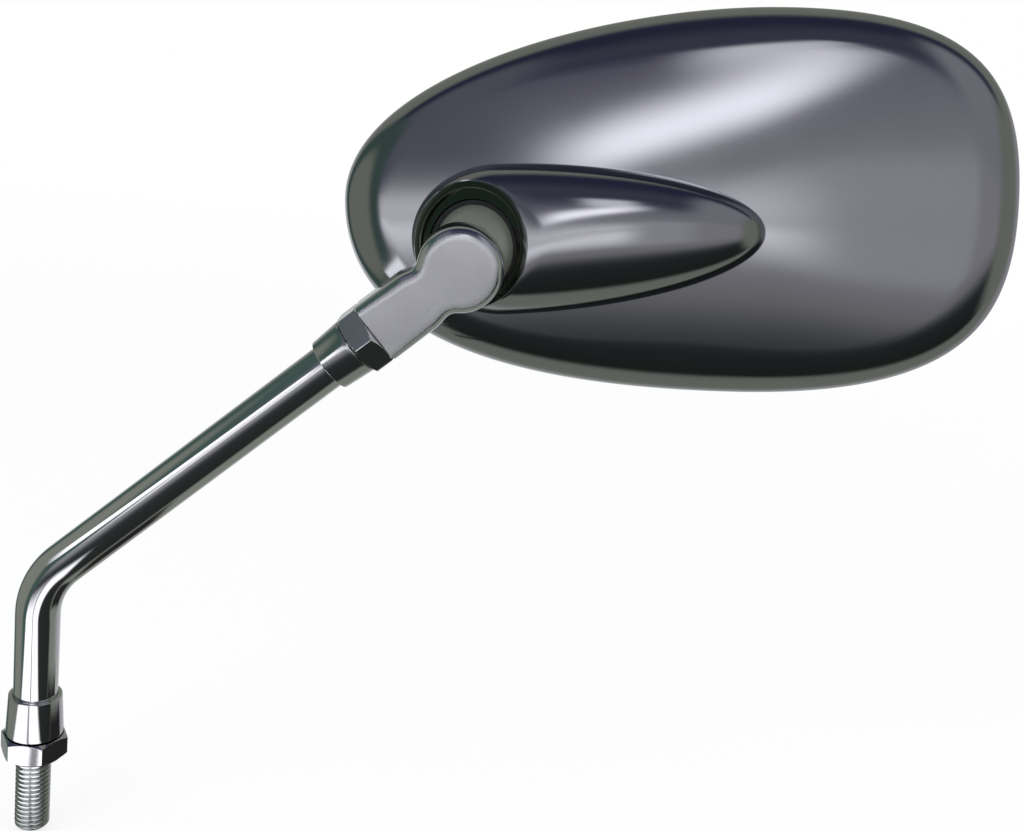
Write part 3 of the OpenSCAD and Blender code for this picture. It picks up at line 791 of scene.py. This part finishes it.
class MIRROR_OT_stem_tube(bpy.types.Operator):
    """Sweep the bent tube along its filleted path"""
    bl_idname = "mirror.stem_tube"
    bl_label = "Stem tube"

    def execute(self, context):
        sizes = context.scene.mirror_stem
        corner = Vector((0, 0, sizes.corner))
        end = NUT_SEAT - ARM_AXIS * sizes.tube_end
        path = bpy.data.meshes.new("tube_path")
        path.from_pydata([(0, 0, sizes.tube_end), tuple(corner), tuple(end)], [(0, 1), (1, 2)], [])
        finish = plated("stem plating", sizes.plating, 0.05, 0.10, 1400.0)
        mesh = grown("stem_tube_plated", tube_tree("Bent tube"), path, {
            "Radius": sizes.tube_radius, "Bend Radius": sizes.bend_radius, "Bend Steps": 40,
            "Spacing": 0.001, "Segments": 96, "Finish": finish,
        })
        piece = add_piece("Bent_tube", mesh, finish, "stem", "stem_plating", "stem_tube")
        wall = piece.modifiers.new("Wall", "SOLIDIFY")
        wall.thickness = sizes.tube_wall
        wall.offset = -1
        return {"FINISHED"}


class MIRROR_OT_studs(bpy.types.Operator):
    """Cut the thread of the lower stud and finish the hidden upper one"""
    bl_idname = "mirror.studs"
    bl_label = "Threaded studs"

    def execute(self, context):
        sizes = context.scene.mirror_stem
        finish = threaded_zinc("stud zinc", sizes.zinc, sizes.thread_radius)
        nose, tip, depth_share = 0.0009, 0.0016, 0.36
        low = -sizes.stud_free - nose
        high = sizes.tube_end + sizes.plug_length
        mesh = grown("lower_stud_cut", thread_tree("Screw thread"), bpy.data.meshes.new("stud_seed"), {
            "Radius": sizes.thread_radius, "Pitch": sizes.pitch, "Depth": sizes.pitch * depth_share,
            "Low": low, "High": high, "Tip": tip, "Shank Radius": sizes.shank_radius, "Plug": sizes.tube_end,
            "Plug Radius": sizes.tube_radius - sizes.tube_wall, "Segments": 96, "Steps": 380, "Finish": finish,
        })
        add_piece("Threaded_stud", mesh, finish, "stem", "thread_zinc", "lower_stud")
        paint_nodes(plated("hidden stud zinc", sizes.zinc, 0.3, 0.45), "upper_stud")
        return {"FINISHED"}


class MIRROR_OT_collars(bpy.types.Operator):
    """Turn the two conical collars"""
    bl_idname = "mirror.collars"
    bl_label = "Collars"

    def execute(self, context):
        sizes = context.scene.mirror_stem
        finish = turned("collar plating", (0.80, 0.80, 0.82), 0.06, 0.13)
        gap, play, flat, soft = 0.0001, 0.00005, 0.001, 0.0004
        base = sizes.nut_height + gap
        hole = sizes.shank_radius + gap
        socket = sizes.tube_radius + play
        narrow = sizes.tube_radius + sizes.collar_wall
        wide = narrow + sizes.collar_flare
        for name, matrix, node, length in (
            ("Cone_collar_low", ROW_FRAME, "lower_collar", sizes.low_collar),
            ("Cone_collar_high", UPPER_END_FRAME, "upper_collar", sizes.high_collar),
        ):
            top = base + length
            profile = rounded([
                (hole, base), (wide, base), (wide, base + flat), (narrow, top), (socket, top),
                (socket, sizes.tube_end), (hole, sizes.tube_end),
            ], soft)
            mesh = turned_mesh(node + "_turned", profile, matrix)
            add_piece(name, mesh, finish, "stem", "collar_plating", node)
        return {"FINISHED"}


class MIRROR_OT_lock_nuts(bpy.types.Operator):
    """Make the two chamfered lock nuts"""
    bl_idname = "mirror.lock_nuts"
    bl_label = "Lock nuts"

    def execute(self, context):
        sizes = context.scene.mirror_stem
        finish = plated("nut plating", (0.82, 0.82, 0.83), 0.06, 0.14, 1200.0, bump=0.04)
        for name, matrix, body, node, turn in (
            ("Hex_nut_low", ROW_FRAME, "lower_nut", "lower_lock_nut", 1),
            ("Hex_nut_high", UPPER_END_FRAME, "upper_nut", "upper_lock_nut", 29),
        ):
            mesh = nut_mesh(node + "_cut", sizes, matrix, math.radians(turn))
            add_piece(name, mesh, finish, body, "nut_plating", node)
        return {"FINISHED"}


# ------------------------------------------------------------------ arm and ball


def arm_outline(sizes):
    """Outline of the arm on its flat face: the head's arc, both flanks and the square end."""
    join = math.radians(40)
    r, half = sizes.head_radius, sizes.width / 2
    taper, waist_drop, lead, trail, spare = 0.0002, 0.003, 0.0032, 0.004, 0.005
    start = r * np.array((math.cos(join), -math.sin(join)))
    lean = np.array((-math.sin(join), -math.cos(join)))
    waist = np.array((half - taper, -1.05 * r - waist_drop))
    flank = bezier([start, start + lead * lean, waist + (0, trail), waist], np.linspace(0, 1, 25)[1:])
    foot = np.array((half, -sizes.length - spare))
    angles = np.linspace(math.pi + join, -join, 97)
    head = r * np.column_stack((np.cos(angles), np.sin(angles)))
    side = np.concatenate((flank, [foot]))
    return np.concatenate((head, side, side[::-1] * (-1, 1)))[::-1]


class MIRROR_OT_knuckle_arm(bpy.types.Operator):
    """Loft the flat-faced arm and cut its end and its seat for the ball's neck"""
    bl_idname = "mirror.knuckle_arm"
    bl_label = "Knuckle arm"

    def execute(self, context):
        sizes = context.scene.mirror_arm
        outline = arm_outline(sizes)
        half, edge = sizes.thickness / 2, sizes.edge_radius
        steps = [math.radians(a) for a in np.linspace(0, 90, 13)]
        front = [(edge * (1 - math.sin(a)), -half + edge * (1 - math.cos(a))) for a in steps]
        back = [(gap, -y) for gap, y in front[::-1]]
        loops = [placed(level(inset(outline, gap), y)[:, [0, 2, 1]], ARM_FRAME) for gap, y in front + back]
        mesh = closed_loops("knuckle_arm_cast", loops, 50)
        bm = bmesh.new()
        bm.from_mesh(mesh)
        end = ARM_CENTRE - ARM_AXIS * sizes.length
        neck = ARM_CENTRE + NECK_AXIS * sizes.neck_start
        for point, normal in ((end, -ARM_AXIS), (neck, NECK_AXIS)):
            cut = bmesh.ops.bisect_plane(bm, geom=bm.verts[:] + bm.edges[:] + bm.faces[:],
                                         plane_co=point, plane_no=normal, clear_outer=True)
            rim = [e for e in cut["geom_cut"] if isinstance(e, bmesh.types.BMEdge)]
            bmesh.ops.contextual_create(bm, geom=rim)
        bmesh.ops.recalc_face_normals(bm, faces=bm.faces)
        bm.to_mesh(mesh)
        bm.free()
        shade(mesh, 40)
        finish = satin_face("arm plating", sizes.plating, -half)
        add_piece("Cast_arm", mesh, finish, "knuckle", "arm_plating", "knuckle_arm")
        return {"FINISHED"}


class MIRROR_OT_ball(bpy.types.Operator):
    """Turn the ball with its neck and finish the screw that holds it"""
    bl_idname = "mirror.ball"
    bl_label = "Ball and its screw"

    def execute(self, context):
        sizes = context.scene.mirror_arm
        centre = (BALL_CENTRE - ARM_CENTRE).length
        r, neck = sizes.ball_radius, sizes.neck_radius
        low = math.asin(neck / r)
        recess, recess_floor, hole = 0.006, centre - 0.003, 0.0031
        far = math.asin(recess / r)
        gap = 0.0001
        foot = sizes.neck_start + gap
        profile = [(hole, foot), (neck, foot)]
        profile += [(r * math.sin(a), centre - r * math.cos(a)) for a in np.linspace(low, math.pi - far, 60)]
        profile += [(recess, recess_floor), (hole, recess_floor)]
        mesh = turned_mesh("swivel_ball_turned", profile, NECK_FRAME)
        finish = plated("ball plating", sizes.ball_colour, 0.3, 0.42, 1500.0, bump=0.04, metallic=0.6)
        add_piece("Plated_ball", mesh, finish, "knuckle", "ball_plating", "swivel_ball")
        paint_nodes(turned("black oxide", (0.05, 0.05, 0.055), 0.35, 0.5), "ball_screw")
        paint_nodes(plated("washer zinc", ZINC_COLOUR, 0.25, 0.4), "ball_washer")
        return {"FINISHED"}


class MIRROR_OT_liners(bpy.types.Operator):
    """Finish the seat ring in the mouth and the cup behind the ball"""
    bl_idname = "mirror.liners"
    bl_label = "Seat ring and cup"

    def execute(self, context):
        nylon = plastic("liner nylon", (0.012, 0.012, 0.014), 0.42)
        paint_nodes(nylon, "front_liner", "rear_cup")
        return {"FINISHED"}


# ------------------------------------------------------------------ housing


class MIRROR_OT_shell(bpy.types.Operator):
    """Loft the plated shell with its nacelle and round mouth"""
    bl_idname = "mirror.shell"
    bl_label = "Shell"

    def execute(self, context):
        sizes = context.scene.mirror_housing
        outer = shell_outline(sizes.columns)
        inner = inset(outer, sizes.wall)
        r, lip, h = sizes.mouth_radius, sizes.lip_radius, sizes.mouth_height
        soft, lip_depth, hole, hole_depth, nacelle_wall = 0.0005, 0.0014, 0.01388, 0.004, 0.0032
        step = h - lip_depth
        loops = []

        def mouth_loop(radius, height, rise=None):
            loops.append(mouth_points(sizes, outer, radius, height, rise))

        mouth_loop(hole, step - hole_depth, 0.0)
        mouth_loop(hole, step, 0.0)
        mouth_loop(lip, step)
        arc = [math.pi / 2 * k / 5 for k in range(6)]
        for a in arc:
            mouth_loop(lip + soft * (1 - math.cos(a)), h - soft * (1 - math.sin(a)))
        for a in arc[1:]:
            mouth_loop(r - soft * (1 - math.sin(a)), h - soft * (1 - math.cos(a)) * 0.6)
        loops += skin_loops(sizes, Skin(sizes, outer), outer, r, 0.0, (44, 26, 34))[1:]
        edge = ((0.0, 0.0004), (0.00015, 0.0001), (0.0005, 0.0), (sizes.wall, 0.0))
        loops += [level(inset(outer, inward), rise - sizes.rim_drop) for inward, rise in edge]
        skin = Skin(sizes, inner, nacelle_wall)
        inside = skin_loops(sizes, skin, inner, r - nacelle_wall, sizes.wall, (14, 8, 12))
        loops += [clear_of(l, CUP_ROOM) for l in inside[::-1]]
        loops = [placed(l, HOUSING_FRAME) for l in loops]
        mesh = closed_loops("housing_shell_moulded", loops, 38, ring=True)
        # The mouth within whose radius the shell's plating is darkened by painted shade
        axis = Vector((-math.sin(sizes.mouth_tilt), 0, math.cos(sizes.mouth_tilt)))
        centre = HOUSING_FRAME @ (axis * h + Vector((0, sizes.mouth_rise, 0)))
        mouth = centre, HOUSING_FRAME.to_3x3() @ axis, r
        finish = plated("shell plating", sizes.plating, 0.10, 0.14, 500.0, cloud=0.03, mouth=mouth)
        add_piece("Plated_shell", mesh, finish, "housing", "shell_plating", "housing_shell")
        return {"FINISHED"}


class MIRROR_OT_glass(bpy.types.Operator):
    """Loft the convex glass and the black ring round it, and finish the pad"""
    bl_idname = "mirror.glass"
    bl_label = "Glass and ring"

    def execute(self, context):
        sizes = context.scene.mirror_housing
        outline = shell_outline(sizes.columns)
        proud, recess, play, inset_glass = 0.001, 0.0012, 0.00015, 0.0018
        thick, bulge, pad = 0.0022, 0.003, 0.002
        front = -sizes.rim_drop - proud
        side = front + recess
        seat = side + play
        edge = inset(outline, sizes.wall + inset_glass)
        face = [level(MIDDLE + share * (edge - MIDDLE), seat - bulge * (1 - share * share))
                for share in np.linspace(0, 1, 26)[1:]]
        rear = [l + (0, 0, thick) for l in face[::-1]]
        mesh = closed_loops("mirror_glass_ground", [placed(l, HOUSING_FRAME) for l in face + rear], 30)
        add_piece("Silvered_glass", mesh, silvered("silvered glass"), "housing", "glass_mirror", "mirror_glass")
        gap, lip, soft, lip_drop = 0.0021, 0.0045, 0.0004, 0.0003
        near, deep, back = sizes.wall + 0.0006, sizes.wall + 0.0017, side + thick + pad
        ring = [
            (gap, side), (gap, front + soft), (gap + soft, front), (lip - soft, front), (lip, front + lip_drop),
            (lip, side), (deep, side), (deep, back), (near, back), (near, side),
        ]
        loops = [placed(level(inset(outline, inward), w), HOUSING_FRAME) for inward, w in ring]
        mesh = closed_loops("glass_bezel_moulded", loops, 30, ring=True)
        finish = plastic("bezel plastic", (0.018, 0.018, 0.02), 0.4)
        add_piece("Black_ring", mesh, finish, "housing", "bezel_plastic", "glass_bezel")
        paint_nodes(plastic("pad foam", (0.03, 0.03, 0.033), 0.85, 700.0, 0.6), "glass_pad")
        return {"FINISHED"}


class MIRROR_OT_clamp(bpy.types.Operator):
    """Finish the clamp plate, its screws and washers"""
    bl_idname = "mirror.clamp"
    bl_label = "Clamp"

    def execute(self, context):
        zinc = plated("clamp zinc", ZINC_COLOUR, 0.25, 0.4, bump=0.08)
        paint_nodes(zinc, "clamp_plate", "clamp_screws", "clamp_washers")
        return {"FINISHED"}


# ------------------------------------------------------------------ studio


CAMERA_PLACE = Vector((0.11543, -0.34433, 0.22049))
CAMERA_BACK = Vector((-0.0353, -0.9605, 0.2759)).normalized()
CAMERA_RIGHT = Vector((0.9919, 0.0, 0.1270)).normalized()
CAMERA_UP = CAMERA_BACK.cross(CAMERA_RIGHT)
PHOTO_WIDTH = 1024
FOCAL_PIXELS = 1300.0
SENSOR_WIDTH = 36.0

LAMP_TARGET = Vector((0.12, 0.02, 0.14))
FLOOR_REACH = 20.0
FLOOR_DROP = -0.0263
DOME_CENTRE = (0.12, 0, 0.15)
DOME_RADIUS = 2.0
OLIVE = (0.22, 0.235, 0.20)
NAVY = (0.03, 0.033, 0.065)
PALE = (0.7, 0.72, 0.74)
# The surroundings' colour by the angle in degrees over the line from the object to the camera
SURROUNDINGS = (
    (-180, PALE), (-138, OLIVE), (-101, OLIVE), (-89, (0.02, 0.023, 0.02)), (-48, (0.024, 0.029, 0.029)),
    (-37, (0.035, 0.04, 0.042)), (-30, (0.085, 0.09, 0.095)), (-23, (0.24, 0.24, 0.25)),
    (-17, (0.28, 0.28, 0.3)), (-11, (0.95, 0.95, 1.0)), (-8.2, (1.3, 1.3, 1.35)), (-7.6, (0.3, 0.3, 0.32)),
    (-7.0, (0.3, 0.3, 0.32)), (-6.4, (1.2, 1.2, 1.25)), (-4, (0.7, 0.7, 0.74)), (1, (0.30, 0.30, 0.33)),
    (14, (0.22, 0.22, 0.26)), (26, (0.09, 0.09, 0.13)), (36, (0.055, 0.056, 0.095)), (52, (0.07, 0.07, 0.1)),
    (74, NAVY), (92, NAVY), (104, OLIVE), (142, OLIVE), (180, PALE),
)
# Reflection cards: name, half sizes, place, target, strength, offset of a dark slit, roll in degrees
CARDS = (
    ("Stem_card", (0.0236, 0.042), (-0.0044, -0.0249, 0.0069), (0, 0, 0.023), 1.5, -0.003, 0),
    ("Leg_card", (0.057, 0.0075), (0.005, -0.0425, 0.108), (0.046, 0, 0.0967), 1.5, None, -44),
    ("Nut_flag", (0.035, 0.03), (0.055, 0.014, -0.03), (0, 0, 0.003), 0.02, None, 0),
)


def sheet(name, half_wide, half_high, height=0.0):
    """A flat rectangle about the z axis."""
    mesh = bpy.data.meshes.new(name)
    corners = [(x * half_wide, y * half_high, height) for x, y in ((-1, -1), (1, -1), (1, 1), (-1, 1))]
    mesh.from_pydata(corners, [], [(0, 1, 2, 3)])
    return mesh


def only_reflected(thing):
    """Hides a stage object from all rays but glossy ones."""
    thing.visible_camera = False
    thing.visible_diffuse = False
    thing.visible_shadow = False
    thing.visible_transmission = False


def window(value, rise, fall):
    """1 between two soft edges, each given as the values where it begins and ends."""
    return value.ramp(*rise) * (1 - value.ramp(*fall))


def surroundings_colour(graph, toward, across, upward):
    """Colour of the room: bands by angle, a leaning key light, and darker or olive sides."""
    turn = upward.math("ARCTAN2", toward) / TURN + 0.5
    stops = [(degrees / 360.0 + 0.5, colour) for degrees, colour in SURROUNDINGS]
    bands = graph.out("ShaderNodeValToRGB", {"stops": stops}, Fac=turn)
    angle = (turn - 0.5) * 360
    leftward = across * -1.0

    above = window(angle, (-5, 8), (66, 88))
    right = across.ramp(0.42, 0.62)
    bands = mixed(graph, across.ramp(0.10, 0.28), bands, (0.42, 0.42, 0.45), "DARKEN")
    bands = mixed(graph, right, bands, (0.32, 0.32, 0.34), "DARKEN")
    bands = mixed(graph, right * above, bands, (0.28, 0.28, 0.31), "LIGHTEN")
    bands = mixed(graph, leftward.ramp(0.2, 0.36) * above, bands, (0.13, 0.135, 0.165))

    high = window(angle, (16, 24), (31, 37)) * window(across, (-0.08, 0.03), (0.14, 0.26))
    bands = mixed(graph, high, bands, (0.9, 0.9, 0.95), "LIGHTEN")
    lean = angle - (across + 0.1) * 33
    key = window(lean, (2, 8), (9, 18)) * (1 - leftward.ramp(0.12, 0.30)) * (1 - across.ramp(0.06, 0.34))
    bands = mixed(graph, key, bands, (1.8, 1.8, 1.9))

    edge = mixed(graph, leftward.ramp(0.80, 0.90), (0.06, 0.10, 0.088), OLIVE)
    colour = mixed(graph, leftward.ramp(0.60, 0.72), bands, edge)
    return mixed(graph, across.ramp(0.86, 0.96), colour, OLIVE)


def reflection_dome():
    """A sphere that only reflections see: the softboxes and dark cards round the object."""
    mesh = bpy.data.meshes.new("reflection_dome")
    bm = bmesh.new()
    bmesh.ops.create_uvsphere(bm, u_segments=48, v_segments=24, radius=DOME_RADIUS)
    bmesh.ops.reverse_faces(bm, faces=bm.faces)
    bm.to_mesh(mesh)
    bm.free()
    dome = linked("Reflection_dome", mesh)
    dome.location = DOME_CENTRE
    material, graph, output = blank_material("reflection dome")
    place = object_place(graph)
    axes = [vector_math(graph, "DOT_PRODUCT", place, tuple(axis), output=1) / DOME_RADIUS
            for axis in (CAMERA_BACK, CAMERA_RIGHT, CAMERA_UP)]
    glow = graph.node("ShaderNodeEmission", None, Color=surroundings_colour(graph, *axes), Strength=1.0)
    graph.feed(output, "Surface", glow.outputs[0])
    mesh.materials.append(material)
    only_reflected(dome)


def soft_card(name, size, place, target, strength, slit, roll):
    """A soft-edged glowing card that only reflections see, with a darker slit where one is given."""
    half_wide, half_high = size
    mesh = sheet(name, half_wide, half_high)
    card = linked(name, mesh)
    place = Vector(place)
    toward = Vector(target) - place
    facing = frame_from(place, Vector((-toward.y, toward.x, 0)), toward)
    card.matrix_world = facing @ Matrix.Rotation(math.radians(roll), 4, "Z")
    material, graph, output = blank_material(name)
    x, y = split(graph, object_place(graph))[:2]
    soft = 1 - x.math("ABSOLUTE").ramp(half_wide * 0.75, half_wide)
    soft = soft * (1 - y.math("ABSOLUTE").ramp(half_high * 0.6, half_high))
    glow = graph.node("ShaderNodeEmission", None, Color=(1, 1, 1.04, 1), Strength=strength)
    if slit:
        dark = 1 - (x - slit).math("ABSOLUTE").ramp(half_wide * 0.02, half_wide * 0.085)
        graph.feed(glow, "Strength", (1 - dark * 0.8) * strength)
    clear = graph.node("ShaderNodeBsdfTransparent")
    blended_surface(graph, output, soft, clear, glow)
    mesh.materials.append(material)
    only_reflected(card)


def blended_surface(graph, output, share, first, second):
    """Feeds the surface a mix of two shader nodes."""
    mix = graph.node("ShaderNodeMixShader", None, _0=share, _1=first.outputs[0], _2=second.outputs[0])
    graph.feed(output, "Surface", mix.outputs[0])


def seen_directly(graph):
    """1 for camera, glossy and transmission rays, and 0 for all others."""
    paths = graph.node("ShaderNodeLightPath").outputs
    camera, glossy, through = (
        Field(graph, paths[name]) for name in ("Is Camera Ray", "Is Glossy Ray", "Is Transmission Ray"))
    return camera.most(glossy).most(through)


def floor_paint(colour):
    """Pale paint that catches the object's shadow and looks almost white to the camera."""
    material, graph, output = blank_material("floor paint")
    paint = graph.node("ShaderNodeBsdfPrincipled", None, Base_Color=tuple(colour) + (1,), Roughness=0.9)
    white = graph.node("ShaderNodeEmission", None, Color=(1, 1, 1, 1), Strength=1.0)
    far = vector_math(graph, "LENGTH", object_place(graph), output=1)
    share = seen_directly(graph) * far.ramp(0.3, 1.5, 0.8, 1.0)
    blended_surface(graph, output, share, paint, white)
    return material


def pale_floor(colour):
    mesh = sheet("floor", FLOOR_REACH, FLOOR_REACH, FLOOR_DROP)
    mesh.materials.append(floor_paint(colour))
    floor = linked("Floor", mesh)
    floor.visible_glossy = False


def pale_world():
    """A soft white room that is pure white where it is seen directly."""
    world = bpy.data.worlds.new("Studio")
    world.use_nodes = True
    world.node_tree.nodes.clear()
    graph = Graph(world.node_tree)
    colour = mixed(graph, seen_directly(graph), (0.85, 0.86, 0.88), (1.0, 1.0, 1.0))
    background = graph.node("ShaderNodeBackground", None, Color=colour, Strength=1.0)
    output = graph.node("ShaderNodeOutputWorld")
    graph.feed(output, "Surface", background.outputs[0])
    return world


def area_lamp(name, place, power, size):
    light = bpy.data.lights.new(name, "AREA")
    light.energy = power
    light.size = size
    lamp = linked(name, light)
    lamp.location = place
    lamp.rotation_euler = (LAMP_TARGET - Vector(place)).to_track_quat("-Z", "Y").to_euler()
    lamp.visible_glossy = False


def photo_camera():
    """The camera that was fitted to the photograph."""
    data = bpy.data.cameras.new("Camera")
    data.sensor_fit = "HORIZONTAL"
    data.sensor_width = SENSOR_WIDTH
    data.lens = SENSOR_WIDTH * FOCAL_PIXELS / PHOTO_WIDTH
    data.clip_start = 0.01
    data.clip_end = 50
    camera = linked("Camera", data)
    turn = Matrix((CAMERA_RIGHT, CAMERA_UP, CAMERA_BACK)).transposed().to_4x4()
    camera.matrix_world = Matrix.Translation(CAMERA_PLACE) @ turn
    return camera


class MIRROR_OT_studio(bpy.types.Operator):
    """Lay the pale floor, the soft light, the reflection cards and the camera"""
    bl_idname = "mirror.studio"
    bl_label = "Studio"

    def execute(self, context):
        scene = context.scene
        studio = scene.mirror_studio
        pale_floor(studio.floor_colour)
        scene.world = pale_world()
        area_lamp("Key light", (-0.5, -0.9, 1.1), studio.key_power, 0.8)
        area_lamp("Fill light", (0.9, -0.7, 0.6), studio.fill_power, 1.0)
        reflection_dome()
        for card in CARDS:
            soft_card(*card)
        scene.camera = photo_camera()
        scene.view_settings.view_transform = "Standard"
        return {"FINISHED"}


# ------------------------------------------------------------------ panel and registration


PIECES = (
    MIRROR_OT_stem_tube, MIRROR_OT_studs, MIRROR_OT_collars, MIRROR_OT_lock_nuts, MIRROR_OT_knuckle_arm,
    MIRROR_OT_ball, MIRROR_OT_liners, MIRROR_OT_shell, MIRROR_OT_glass, MIRROR_OT_clamp, MIRROR_OT_studio,
)


class MIRROR_PT_dresser(bpy.types.Panel):
    """Lists the pieces of the mirror"""
    bl_label = "Motorcycle mirror"
    bl_idname = "MIRROR_PT_dresser"
    bl_space_type = "VIEW_3D"
    bl_region_type = "UI"
    bl_category = "Mirror"

    def draw(self, context):
        for kind in PIECES:
            self.layout.operator(kind.bl_idname, text=kind.bl_label)


GROUPS = (
    ("mirror_stem", StemSizes), ("mirror_arm", ArmSizes), ("mirror_housing", HousingSizes),
    ("mirror_studio", StudioSettings),
)


def register():
    for name, group in GROUPS:
        bpy.utils.register_class(group)
        setattr(bpy.types.Scene, name, PointerProperty(type=group))
    for kind in PIECES:
        bpy.utils.register_class(kind)
    bpy.utils.register_class(MIRROR_PT_dresser)


def unregister():
    bpy.utils.unregister_class(MIRROR_PT_dresser)
    for kind in reversed(PIECES):
        bpy.utils.unregister_class(kind)
    for name, group in reversed(GROUPS):
        delattr(bpy.types.Scene, name)
        bpy.utils.unregister_class(group)


def main():
    register()
    for kind in PIECES:
        family, action = kind.bl_idname.split(".")
        getattr(getattr(bpy.ops, family), action)()


if __name__ == "__main__":
    main()
